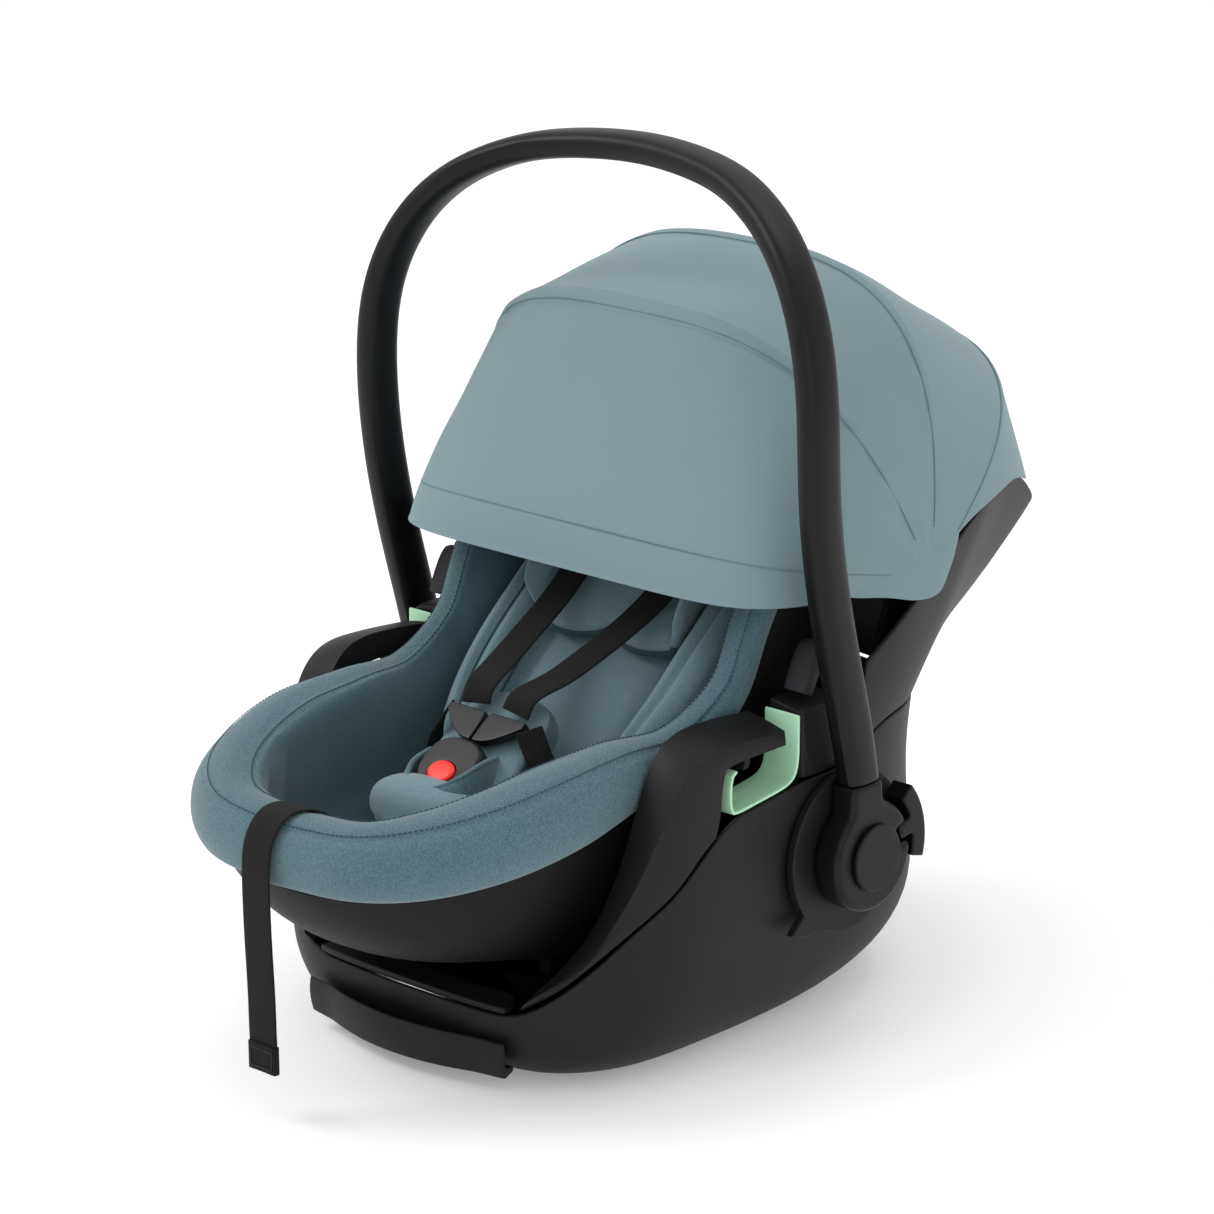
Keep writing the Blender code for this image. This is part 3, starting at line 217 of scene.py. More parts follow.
def buildMelangeGroup():
    group, start, end = newGroup(
        "melange weave",
        (("Dark", "NodeSocketColor", (0, 0, 0, 1)), ("Light", "NodeSocketColor", (1, 1, 1, 1)),
         ("Speckle Scale", "NodeSocketFloat", 700.0), ("Thread Scale", "NodeSocketFloat", 1500.0),
         ("Contrast", "NodeSocketFloat", 1.0)),
        (("Color", "NodeSocketColor"), ("Height", "NodeSocketFloat"), ("Roughness", "NodeSocketFloat")))
    place = addNode(group, "ShaderNodeTexCoord", {}).outputs["Object"]
    speckle = addNode(group, "ShaderNodeTexNoise", {"Vector": place, "Scale": start.outputs["Speckle Scale"]},
                      in_Detail=2.0, in_Roughness=0.7)
    stretch = addNode(group, "ShaderNodeMapping", {"Vector": place}, in_Scale=(1.0, 0.35, 1.0))
    thread = addNode(group, "ShaderNodeTexNoise", {"Vector": stretch.outputs["Vector"],
                                                   "Scale": start.outputs["Thread Scale"]}, in_Detail=1.0)
    cloud = addNode(group, "ShaderNodeTexNoise", {"Vector": place}, in_Scale=9.0, in_Detail=2.0)
    both = mathNode(group, "ADD", speckle.outputs["Fac"], thread.outputs["Fac"])
    centred = mathNode(group, "SUBTRACT", both, 1.0)
    strong = mathNode(group, "MULTIPLY", centred, start.outputs["Contrast"])
    drift = mathNode(group, "MULTIPLY_ADD", cloud.outputs["Fac"], 0.30, 0.35)
    share = mathNode(group, "ADD", strong, drift, clamp=True)
    colour = colourMix(group, share, start.outputs["Dark"], start.outputs["Light"])
    group.links.new(colour, end.inputs["Color"])
    group.links.new(both, end.inputs["Height"])
    group.links.new(mathNode(group, "MULTIPLY_ADD", share, 0.12, 0.80), end.inputs["Roughness"])
    return group


def buildGrainGroup():
    group, start, end = newGroup(
        "moulded grain",
        (("Base", "NodeSocketColor", (0, 0, 0, 1)), ("Grain Scale", "NodeSocketFloat", 1600.0),
         ("Roughness", "NodeSocketFloat", 0.5), ("Variation", "NodeSocketFloat", 0.1)),
        (("Color", "NodeSocketColor"), ("Height", "NodeSocketFloat"), ("Roughness", "NodeSocketFloat")))
    place = addNode(group, "ShaderNodeTexCoord", {}).outputs["Object"]
    grain = addNode(group, "ShaderNodeTexVoronoi", {"Vector": place, "Scale": start.outputs["Grain Scale"]})
    cloud = addNode(group, "ShaderNodeTexNoise", {"Vector": place}, in_Scale=14.0, in_Detail=4.0)
    centred = mathNode(group, "SUBTRACT", cloud.outputs["Fac"], 0.5)
    rough = mathNode(group, "MULTIPLY_ADD", centred, start.outputs["Variation"], start.outputs["Roughness"])
    tinted = addNode(group, "ShaderNodeVectorMath", {0: start.outputs["Base"],
                                                     "Scale": mathNode(group, "MULTIPLY_ADD", centred, 0.35, 1.0)},
                     operation="SCALE")
    group.links.new(tinted.outputs["Vector"], end.inputs["Color"])
    group.links.new(grain.outputs["Distance"], end.inputs["Height"])
    group.links.new(rough, end.inputs["Roughness"])
    return group


def buildWebbingGroup():
    group, start, end = newGroup(
        "webbing weave",
        (("Dark", "NodeSocketColor", (0, 0, 0, 1)), ("Light", "NodeSocketColor", (1, 1, 1, 1)),
         ("Pitch", "NodeSocketFloat", 900.0)),
        (("Color", "NodeSocketColor"), ("Height", "NodeSocketFloat")))
    place = addNode(group, "ShaderNodeUVMap", {}, uv_map="weave").outputs["UV"]
    ribs = addNode(group, "ShaderNodeTexWave", {"Vector": place, "Scale": start.outputs["Pitch"]},
                   wave_type="BANDS", bands_direction="DIAGONAL", in_Distortion=0.4)
    colour = colourMix(group, ribs.outputs["Fac"], start.outputs["Dark"], start.outputs["Light"])
    group.links.new(colour, end.inputs["Color"])
    group.links.new(ribs.outputs["Fac"], end.inputs["Height"])
    return group


melangeGroup = buildMelangeGroup()
grainGroup = buildGrainGroup()
webbingGroup = buildWebbingGroup()


def bareMaterial(name, group, values, bump, depth):
    made = bpy.data.materials.new(name)
    made.use_nodes = True
    tree = made.node_tree
    shader = tree.nodes["Principled BSDF"]
    effect = tree.nodes.new("ShaderNodeGroup")
    effect.node_tree = group
    for label, value in values.items():
        effect.inputs[label].default_value = value
    relief = addNode(tree, "ShaderNodeBump", {"Height": effect.outputs["Height"]},
                     in_Strength=bump, in_Distance=depth)
    tree.links.new(effect.outputs["Color"], shader.inputs["Base Color"])
    tree.links.new(relief.outputs["Normal"], shader.inputs["Normal"])
    if "Roughness" in effect.outputs:
        tree.links.new(effect.outputs["Roughness"], shader.inputs["Roughness"])
    return made, shader


def clothFinish(name, dark, light, speckle=700.0, thread=1500.0, contrast=1.0, bump=0.35, sheen=0.25):
    made, shader = bareMaterial(name, melangeGroup, {
        "Dark": (*dark, 1), "Light": (*light, 1), "Speckle Scale": speckle, "Thread Scale": thread,
        "Contrast": contrast}, bump, 0.0006)
    shader.inputs["Sheen Weight"].default_value = sheen
    shader.inputs["Sheen Roughness"].default_value = 0.55
    shader.inputs["Specular IOR Level"].default_value = 0.25
    return made


def plasticFinish(name, base, roughness, grain=1600.0, bump=0.12, shine=0.22):
    made, shader = bareMaterial(name, grainGroup, {
        "Base": (*base, 1), "Grain Scale": grain, "Roughness": roughness, "Variation": 0.12}, bump, 0.0002)
    shader.inputs["Specular IOR Level"].default_value = shine
    return made


def webbingFinish(name, dark, light):
    made, shader = bareMaterial(name, webbingGroup, {
        "Dark": (*dark, 1), "Light": (*light, 1)}, 0.5, 0.0004)
    shader.inputs["Roughness"].default_value = 0.76
    shader.inputs["Sheen Weight"].default_value = 0.04
    shader.inputs["Specular IOR Level"].default_value = 0.18
    return made


def steelFinish(name):
    made, shader = bareMaterial(name, grainGroup, {
        "Base": (0.55, 0.55, 0.56, 1), "Grain Scale": 2500.0, "Roughness": 0.32, "Variation": 0.2},
        0.08, 0.0001)
    shader.inputs["Metallic"].default_value = 1.0
    return made


finishes = {
    "hull_plastic": plasticFinish("hull finish", (0.0085, 0.0080, 0.0088), 0.52),
    "handle_plastic": plasticFinish("handle finish", (0.0035, 0.0032, 0.0036), 0.42, bump=0.06),
    "cap_plastic": plasticFinish("cap finish", (0.0075, 0.0070, 0.0077), 0.48),
    "shell_plastic": plasticFinish("shell finish", (0.0050, 0.0047, 0.0052), 0.55, shine=0.16),
    "guide_plastic": plasticFinish("guide finish", (0.430, 0.740, 0.510), 0.42, bump=0.05, shine=0.45),
    "lever_rubber": plasticFinish("lever finish", (0.0270, 0.0250, 0.0300), 0.62, grain=900.0, bump=0.25),
    "bow_plastic": plasticFinish("bow finish", (0.05, 0.05, 0.055), 0.45),
    "buckle_plastic": plasticFinish("buckle finish", (0.0070, 0.0066, 0.0072), 0.38, bump=0.08, shine=0.35),
    "button_red": plasticFinish("button finish", (0.900, 0.022, 0.012), 0.36, bump=0.03, shine=0.45),
    "steel": steelFinish("steel finish"),
    "cover_fabric": clothFinish("cover cloth", (0.030, 0.072, 0.090), (0.100, 0.188, 0.218), contrast=1.5),
    "insert_fabric": clothFinish("insert cloth", (0.088, 0.150, 0.175), (0.190, 0.292, 0.328), speckle=900.0),
    "headrest_fabric": clothFinish("headrest cloth", (0.105, 0.178, 0.204), (0.222, 0.330, 0.366),
                                   speckle=900.0),
    "canopy_fabric": clothFinish("canopy cloth", (0.150, 0.228, 0.250), (0.184, 0.270, 0.293), speckle=1400.0,
                                 thread=2600.0, contrast=0.5, bump=0.12, sheen=0.18),
    "webbing": webbingFinish("webbing cloth", (0.0030, 0.0026, 0.0027), (0.0095, 0.0082, 0.0076))}
liningCloth = clothFinish("bucket lining cloth", (0.030, 0.072, 0.090), (0.078, 0.152, 0.178), speckle=1000.0,
                          contrast=0.8)
threadFinish = clothFinish("sewing thread", (0.018, 0.045, 0.056), (0.035, 0.075, 0.090), sheen=0.1)
paleThread = clothFinish("canopy thread", (0.10, 0.17, 0.19), (0.14, 0.22, 0.25), sheen=0.1)
print("finishes ready")


# hard pieces: the frame's own shapes, rounded along their edges

bodyOf = {node: body for body, members in frame["record"]["behaviour"]["bodies"].items() for node in members}
slotOf = {entry["node"]: entry["material_slot"] for entry in frame["record"]["subparts"]}
roundings = {                      # edge radius in metres, subdivision steps
    "base_shell": (0.0016, 2), "front_rim": (0.0014, 2), "front_lip": (0.0016, 2), "back_shell": (0.0012, 2),
    "side_band": (0.0020, 2), "belt_guide": (0.0010, 2), "guide_post": (0.0014, 2), "belt_tab": (0.0008, 1),
    "release_lever": (0.0014, 2), "handle_arch": (0.0018, 2), "handle_hub": (0.0016, 2), "hub_cap": (0.0014, 2),
    "hub_ring": (0.0014, 2), "handle_button": (0.0016, 2), "seat_shell": (0.0010, 2), "tongue": (0.0008, 2),
    "buckle_housing": (0.0012, 2), "buckle_button": (0.0008, 2), "harness_adjuster": (0.0010, 2),
    "canopy_bow": (0.0005, 1)}


def roundedCopy(node, radius, levels):
    work = bmesh.new()
    work.from_mesh(nodes[node].data)
    bmesh.ops.remove_doubles(work, verts=work.verts, dist=2e-6)
    bmesh.ops.dissolve_limit(work, angle_limit=math.radians(0.6), verts=work.verts, edges=work.edges)
    bmesh.ops.triangulate(work, faces=[f for f in work.faces if len(f.verts) > 4])
    bmesh.ops.join_triangles(work, faces=work.faces, angle_face_threshold=math.radians(28),
                             angle_shape_threshold=math.radians(60))
    mesh = bpy.data.meshes.new(node + "_form")
    work.to_mesh(mesh)
    work.free()
    mesh.polygons.foreach_set("use_smooth", [True] * len(mesh.polygons))
    mesh.materials.clear()
    mesh.materials.append(finishes[slotOf[node]])
    piece = bpy.data.objects.new(node + "_form", mesh)
    bpy.context.scene.collection.objects.link(piece)
    edge = piece.modifiers.new("edge", "BEVEL")
    edge.width = radius
    edge.segments = 2
    edge.limit_method = "ANGLE"
    edge.angle_limit = math.radians(38)
    addSubdivision(piece, levels)
    settled(piece)
    mounted(piece, bodyOf[node], node)


placeWords = ("right", "left", "front", "middle", "rear")
for node in sorted(nodes):
    for stem, (radius, levels) in roundings.items():
        if node in [stem] + [f"{stem}_{word}" for word in placeWords]:
            roundedCopy(node, radius, levels)
            break
    else:
        for slotted in nodes[node].material_slots:
            slotted.material = finishes[slotOf[node]]
print("hard pieces rounded")


# cloth that is blown up a little by pressure, held along its seams

puffing = {"frames": 16, "stiffness": 18.0}


def puffed(piece, heldWeights, pressure, cap):
    scene = bpy.context.scene
    start = np.array([v.co for v in piece.data.vertices])
    group = piece.vertex_groups.new(name="held")
    for index, weight in enumerate(heldWeights):
        if weight > 0.01:
            group.add([index], float(weight), "REPLACE")
    cloth = piece.modifiers.new("puff", "CLOTH")
    made = cloth.settings
    made.quality = 5
    made.mass = 0.25
    made.tension_stiffness = made.compression_stiffness = puffing["stiffness"]
    made.bending_stiffness = 0.6
    made.use_pressure = True
    made.uniform_pressure_force = pressure
    made.effector_weights.gravity = 0
    made.vertex_group_mass = "held"
    cloth.collision_settings.use_collision = False
    cloth.point_cache.frame_start = 1
    cloth.point_cache.frame_end = puffing["frames"]
    for step in range(1, puffing["frames"] + 1):
        scene.frame_set(step)
    graph = bpy.context.evaluated_depsgraph_get()
    shaped = piece.evaluated_get(graph).to_mesh()
    end = np.array([v.co for v in shaped.vertices])
    piece.evaluated_get(graph).to_mesh_clear()
    piece.modifiers.remove(cloth)
    scene.frame_set(1)
    move = end - start
    size = np.linalg.norm(move, axis=1, keepdims=True)
    move *= np.minimum(1, cap / np.maximum(size, 1e-9))
    move[~np.isfinite(move)] = 0
    piece.data.vertices.foreach_set("co", (start + move).ravel())
    piece.vertex_groups.clear()
    piece.data.update()


# stitches along a line, one small thread lozenge after another

def buildStitchNodes():
    tree = bpy.data.node_groups.new("stitch row", "GeometryNodeTree")
    tree.interface.new_socket(name="Geometry", in_out="INPUT", socket_type="NodeSocketGeometry")
    for label, value in (("Spacing", 0.0034), ("Stitch Length", 0.0024), ("Thread Radius", 0.00042)):
        size = tree.interface.new_socket(name=label, in_out="INPUT", socket_type="NodeSocketFloat")
        size.default_value = value
    tree.interface.new_socket(name="Thread", in_out="INPUT", socket_type="NodeSocketMaterial")
    tree.interface.new_socket(name="Geometry", in_out="OUTPUT", socket_type="NodeSocketGeometry")
    start, end = tree.nodes.new("NodeGroupInput"), tree.nodes.new("NodeGroupOutput")
    line = addNode(tree, "GeometryNodeMeshToCurve", {"Mesh": start.outputs["Geometry"]})
    spaced = addNode(tree, "GeometryNodeResampleCurve", {"Curve": line.outputs["Curve"],
                                                         "Length": start.outputs["Spacing"]}, mode="LENGTH")
    tangent = addNode(tree, "GeometryNodeInputTangent", {})
    turn = addNode(tree, "FunctionNodeAlignEulerToVector", {"Vector": tangent.outputs["Tangent"]}, axis="Z")
    thread = addNode(tree, "GeometryNodeMeshCylinder", {
        "Radius": start.outputs["Thread Radius"], "Depth": start.outputs["Stitch Length"]}, in_Vertices=6)
    placed = addNode(tree, "GeometryNodeInstanceOnPoints", {
        "Points": spaced.outputs["Curve"], "Instance": thread.outputs["Mesh"],
        "Rotation": turn.outputs["Rotation"]})
    real = addNode(tree, "GeometryNodeRealizeInstances", {"Geometry": placed.outputs["Instances"]})
    finish = addNode(tree, "GeometryNodeSetMaterial", {"Geometry": real.outputs["Geometry"],
                                                       "Material": start.outputs["Thread"]})
    tree.links.new(finish.outputs["Geometry"], end.inputs["Geometry"])
    return tree


stitchNodes = buildStitchNodes()


def stitchRows(name, lines, thread, spacing=0.0034):
    points, edges = [], []
    for line in lines:
        first = len(points)
        points += [tuple(p) for p in line]
        edges += [(first + i, first + i + 1) for i in range(len(line) - 1)]
    mesh = bpy.data.meshes.new(name)
    mesh.from_pydata(points, edges, [])
    piece = bpy.data.objects.new(name, mesh)
    bpy.context.scene.collection.objects.link(piece)
    rows = piece.modifiers.new("stitches", "NODES")
    rows.node_group = stitchNodes
    for item in stitchNodes.interface.items_tree:
        if item.in_out == "INPUT" and item.name == "Spacing":
            rows[item.identifier] = spacing
        if item.in_out == "INPUT" and item.name == "Thread":
            rows[item.identifier] = thread
    settled(piece)
    if not piece.data.materials:
        piece.data.materials.append(thread)
    return piece


# canopy: one cloth shell over three bows, sewn at its ridges

canopy = {"hingeY": 0.151, "hingeZ": 0.311, "half": 0.184, "cloth": 0.0018, "columns": 121,
          "ridges": (61.0, 96.0, 140.0), "edge": 3.0, "tail": 168.0, "hem": 12.6, "seam": 2.5,
          "stitchStop": 0.036}
canopyArcs = (
    ((3, 0.1820), (20, 0.1720), (36, 0.1730), (50, 0.1890), (61, 0.2130)),
    ((61, 0.2130), (70, 0.2030), (78, 0.2000), (87, 0.2020), (96, 0.2090)),
    ((96, 0.2090), (107, 0.1990), (118, 0.1940), (130, 0.1980), (140, 0.2050)),
    ((140, 0.2050), (152, 0.1980), (166, 0.1990)))


def canopyRadius(angle):
    for arc in canopyArcs:
        if angle <= arc[-1][0]:
            break
    table = np.array(arc, float)
    reach = float(np.polyval(np.polyfit(table[:, 0], table[:, 1], len(arc) - 1), angle))
    for ridge in canopy["ridges"]:
        reach += 0.0014 * math.exp(-((angle - ridge + 0.9) / 0.95) ** 2)
        reach -= 0.0012 * math.exp(-((angle - ridge + canopy["seam"]) / 0.32) ** 2)
    reach -= 0.0006 * math.exp(-((angle - canopy["hem"]) / 0.35) ** 2)
    reach += 0.0008 * math.exp(-((angle - canopy["edge"]) / 0.5) ** 2)
    return reach


def canopyPoint(turn, angle, lift=0.0):
    square = float(np.interp(angle, (3, 40, 61), (6.0, 4.0, 3.0)))
    power = 2 / square
    rise = (canopyRadius(angle) + lift) * abs(math.cos(turn)) ** power
    x = (canopy["half"] + lift) * math.copysign(abs(math.sin(turn)) ** power, turn)
    a = math.radians(angle)
    return np.array((x, canopy["hingeY"] - rise * math.cos(a), canopy["hingeZ"] + rise * math.sin(a)))


def canopyTurns(angle, count):
    foot = np.interp(angle, (110, 130, 140, 151, 158, 168), (0.008, 0.010, 0.034, 0.078, 0.118, 0.156))
    square = float(np.interp(angle, (3, 40, 61), (6.0, 4.0, 3.0)))
    last = math.acos((foot / canopyRadius(angle)) ** (square / 2))
    dense = np.linspace(0, last, 500)
    length = pathLengths(np.array([canopyPoint(t, angle) for t in dense]))
    half = np.interp(np.linspace(0, length[-1], (count + 1) // 2), length, dense)
    return np.concatenate([-half[:0:-1], half])


def canopyAngles(low, high):
    coarse = list(np.arange(low, high, 1.6)) + [high]
    fine = []
    for mark in (*canopy["ridges"], canopy["hem"], canopy["edge"] + 1):
        fine += [mark + d for d in np.arange(-3.4, 0.9, 0.28)]
    return sorted({round(a, 3) for a in coarse + [f for f in fine if low < f < high]})


def canopyPanel(name, low, high):
    angles = canopyAngles(low, high)
    grid = []
    for angle in angles:
        row = []
        for t in canopyTurns(angle, canopy["columns"]):
            p = canopyPoint(t, angle)
            pull = math.exp(-((angle - 57) / 9) ** 2) + 0.5 * math.exp(-((angle - 93) / 6) ** 2)
            crease = noise.noise(Vector((t * 7.0, angle * 0.045, 2.7)))
            soft = noise.noise(Vector((p[0] * 11, angle * 0.06, 7.1)))
            lift = 0.0016 * pull * crease + 0.0011 * soft * math.sin(math.pi * (angle - low) / (high - low))
            row.append(canopyPoint(t, angle, lift))
        grid.append(row)
    grid = np.array(grid)
    points = toFrame(grid.reshape(-1, 3))
    piece = meshPiece(name, points, ringFaces(canopy["columns"], len(angles), closed=False),
                      finishes["canopy_fabric"])
    outward = sum((p.center - Vector((0, canopy["hingeY"] - midY, canopy["hingeZ"]))).dot(p.normal)
                  for p in piece.data.polygons)
    if outward < 0:
        piece.data.flip_normals()
    wall = piece.modifiers.new("wall", "SOLIDIFY")
    wall.thickness = canopy["cloth"]
    wall.offset = -1
    settled(piece)
    area = sum(p.area for p in piece.data.polygons) / 2
    crown = grid[:, canopy["columns"] // 2]
    length = float(np.linalg.norm(np.diff(crown, axis=0), axis=1).sum())
    width = float(max(np.linalg.norm(np.diff(row, axis=0), axis=1).sum() for row in grid))
    return piece, width, length, area


def crownPoint(angle):
    return tuple(toFrame(canopyPoint(0, angle)))


# name, first and last angle, body behind, body ahead, record node
canopyParts = (("canopyFront", canopy["edge"], 61.0, "canopy_middle", "canopy_front", "canopy_front_panel"),
               ("canopyMiddle", 61.0, 96.0, "canopy_rear", "canopy_middle", "canopy_middle_panel"),
               ("canopyRear", 96.0, canopy["tail"], "base", "canopy_rear", "canopy_rear_panel"))
for name, low, high, behind, ahead, node in canopyParts:
    panel, width, length, area = canopyPanel(name, low, high)
    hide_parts(node)
    back = min(high, 140.0)
    crownPoint(back)
    crownPoint(low)
    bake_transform(panel)

# name, seam angles, first and last angle of its panel, body behind, body ahead
canopySeams = (("canopyFrontStitches", (58.9, 12.9), 3, 61, "canopy_middle", "canopy_front"),
               ("canopyMiddleStitches", (93.9,), 61, 96, "canopy_rear", "canopy_middle"),
               ("canopyRearStitches", (137.9,), 96, 140, "base", "canopy_rear"))
for name, seams, low, high, behind, ahead in canopySeams:
    lines = []
    for angle in seams:
        line = np.array([canopyPoint(t, angle, 0.0002) for t in canopyTurns(angle, 161)])
        reach = np.hypot(line[:, 1] - canopy["hingeY"], line[:, 2] - canopy["hingeZ"])
        lines.append(toFrame(line[reach > canopy["stitchStop"]]))
    rows = stitchRows(name, lines, paleThread, 0.0030)
    crownPoint(high)
    crownPoint(low)
    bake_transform(rows)


tabOutline = ((0.0600, 0.3165), (0.1000, 0.3070), (0.1281, 0.2990), (0.1469, 0.2966), (0.1580, 0.2990),
              (0.1640, 0.3060), (0.1720, 0.3200), (0.1815, 0.3370), (0.1740, 0.3440), (0.1500, 0.3430),
              (0.1150, 0.3350), (0.0800, 0.3260))


def hingeTab(name, side):
    loop = np.array(tabOutline)
    middle = loop.mean(axis=0)
    rings = []
    for out, share in ((-0.0012, 0.6), (-0.0012, 0.985), (-0.0006, 1.0), (0.0004, 0.998), (0.0008, 0.97),
                       (0.0008, 0.6)):
        ring = []
        for p in middle + (closedLoop(loop, 120) - middle) * share:
            lean = float(np.interp(p[1] - 0.18 * (p[0] - 0.06), (0.3000, 0.3250), (0.0026, -0.0030)))
            ring.append((side * (canopy["half"] + out + lean), p[0] - midY, p[1]))
        rings.append(ring)
    piece = tubePiece(name, rings, finishes["canopy_fabric"])
    mounted(piece, "base")


hingeTab("canopyTabRight", 1)
hingeTab("canopyTabLeft", -1)
print("canopy sewn")


# seat cover: a thick roll round the rim and a smooth padded bucket

seatRimPoints = (
    ((0.000, -0.3020, 0.1600), (0.0, -1.0, 0.0), 0.70),
    ((0.062, -0.2920, 0.1610), (0.35, -0.94, 0.0), 0.72),
    ((0.102, -0.2620, 0.1640), (0.72, -0.70, 0.0), 0.78),
    ((0.126, -0.2150, 0.1700), (0.93, -0.35, 0.0), 0.82),
    ((0.1350, -0.1600, 0.1790), (1.0, -0.06, 0.0), 0.82),
    ((0.1335, -0.1050, 0.1900), (1.0, 0.0, 0.0), 0.70),
    ((0.1340, -0.0450, 0.2050), (1.0, 0.0, 0.0), 0.48),
    ((0.1360, 0.0080, 0.2420), (1.0, 0.0, 0.0), 0.38),
    ((0.1370, 0.0360, 0.2950), (1.0, 0.0, 0.0), 0.38),
    ((0.1360, 0.0800, 0.3520), (1.0, 0.0, -0.05), 0.38),
    ((0.1310, 0.1450, 0.3960), (0.95, 0.1, -0.15), 0.38),
    ((0.1120, 0.2100, 0.4170), (0.75, 0.45, -0.35), 0.38),
    ((0.0650, 0.2500, 0.4260), (0.30, 0.75, -0.60), 0.38),
    ((0.000, 0.2600, 0.4280), (0.0, 0.78, -0.63), 0.38))
seatBottomPoints = (
    (0.000, -0.1850, 0.0880), (0.045, -0.1800, 0.0870), (0.078, -0.1550, 0.0850), (0.092, -0.1150, 0.0830),
    (0.095, -0.0750, 0.0820), (0.095, -0.0400, 0.0820), (0.094, -0.0080, 0.0840), (0.092, 0.0180, 0.0880),
    (0.088, 0.0380, 0.0930), (0.080, 0.0540, 0.0980), (0.066, 0.0660, 0.1020), (0.046, 0.0740, 0.1050),
    (0.023, 0.0780, 0.1060), (0.000, 0.0790, 0.1065))
seat = {"columns": 91, "clear": 0.0062, "pad": 0.0150, "steps": 5, "stitch": 0.0036, "seamDepth": 0.0014,
        "outerSeam": 7.9, "innerSeam": 10.7, "stitchAside": 1.15, "pressure": 3.0, "puff": 0.0045}
rollSection = ((0.0020, 0.0015), (0.0120, 0.0080), (0.0185, 0.0260), (0.0160, 0.0480), (0.0040, 0.0640),
               (-0.0120, 0.0700), (-0.0280, 0.0660), (-0.0400, 0.0560))


def bothSides(half):
    return np.vstack([half, half[-2:0:-1] * np.array((-1, 1, 1))])


def seatRim():
    table = np.array([(*p, *o, roll) for p, o, roll in seatRimPoints])
    half = curveThrough(table, seat["columns"])
    bottom = curveThrough(seatBottomPoints, seat["columns"])
    rim, outward, roll = half[:, :3], half[:, 3:6], half[:, 6]
    tangent = unit(np.gradient(rim, axis=0))
    tangent[0] = (1, 0, 0)
    tangent[-1] = (-1, 0, 0)
    outward = unit(outward - tangent * np.sum(outward * tangent, axis=1, keepdims=True))
    return rim, bottom, outward, np.cross(outward, tangent), roll


def seatWall(t, inset):
    rim, bottom, outward = seatRim()[:3]
    chord = rim - bottom
    flat = chord.copy()
    flat[:, 2] = 0
    away = unit(flat + outward * 0.02)
    long = np.linalg.norm(chord, axis=1, keepdims=True)
    away = unit(away * chord[:, 2:3] / long
                - np.array((0, 0, 1)) * np.linalg.norm(flat, axis=1, keepdims=True) / long)
    bulge = 0.16 * np.linalg.norm(flat, axis=1, keepdims=True) + 0.002
    wall = bottom + chord * t + away * bulge * 4 * t * (1 - t)
    return bothSides(wall - away * inset * (1 - t) - outward * inset * t)


def lofted(rings, steps):
    p = withEnds(rings)
    return np.array(splineRows(p, steps) + [p[-2]])


def buildSeatCover():
    rim, _, outward, up, roll = seatRim()
    size = roll[:, None]
    rings = []
    for t in (0.0, 0.34, 0.78):
        ring = seatWall(t, seat["clear"])
        ring[:, 2] += 0.0055 * (1 - t)
        rings.append(ring)
    rings.append(bothSides(rim - outward * seat["clear"] + up * 0.0008))
    for out, high in rollSection:
        side = outward * out * np.minimum(1, size * 1.05)
        rings.append(bothSides(rim + side + up * (high * size + 0.0010)))
    for t in (0.80, 0.52, 0.26, 0.0):
        ring = seatWall(t, seat["clear"] + seat["pad"])
        ring[:, 2] += 0.0220 * (1 - t) ** 2
        rings.append(ring)
    steps = seat["steps"]
    grid = lofted(rings, steps)
    rows = len(grid)
    away = unit(np.cross(np.gradient(grid, axis=1), np.gradient(grid, axis=0)))
    away[:, 0] = away[:, 1]
    outer, inner = int(seat["outerSeam"] * steps), int(seat["innerSeam"] * steps)
    held = np.zeros(rows)
    for seam in (outer, inner):
        for r in range(rows):
            depth = math.exp(-((r - seam) / 0.75) ** 2)
            grid[r] -= away[r] * seat["seamDepth"] * depth
            held[r] = max(held[r], math.exp(-((r - seam) / 1.1) ** 2))
    held[:6 * steps] = 1
    held[-steps:] = 1
    sections = grid.shape[1]
    points = toFrame(grid.reshape(-1, 3))
    faces = ringFaces(sections, rows)
    points = np.vstack([points, toFrame([(0, -0.05, 0.0880)]), toFrame([(0, -0.05, 0.1180)])])
    last = (rows - 1) * sections
    for i in range(sections):
        faces.append(((i + 1) % sections, i, rows * sections))
        faces.append((last + i, last + (i + 1) % sections, rows * sections + 1))
    piece = meshPiece("seatCover", points, faces, finishes["cover_fabric"])
    piece.data.materials.append(liningCloth)
    for polygon in piece.data.polygons:
        if min(polygon.vertices) // sections > inner:
            polygon.material_index = 1
    weights = np.concatenate([np.repeat(held, sections), [1, 1]])
    puffed(piece, weights, seat["pressure"], seat["puff"])
    addSubdivision(piece, 1)
    settled(piece)
    mounted(piece, "seat", "seat_cover")
    lines = []
    for row in (outer + seat["stitchAside"], inner - seat["stitchAside"]):
        low, share = int(math.floor(row)), row - math.floor(row)
        line = grid[low] * (1 - share) + grid[low + 1] * share + away[low] * 0.0004
        lines.append(toFrame(np.vstack([line, line[:1]])))
    mounted(stitchRows("seatCoverStitches", lines, threadFinish, seat["stitch"]), "seat")


buildSeatCover()
coverTree = cadTree("seat_cover")
print("seat cover padded")


# grids that stand on the bucket: the newborn insert and the headrest

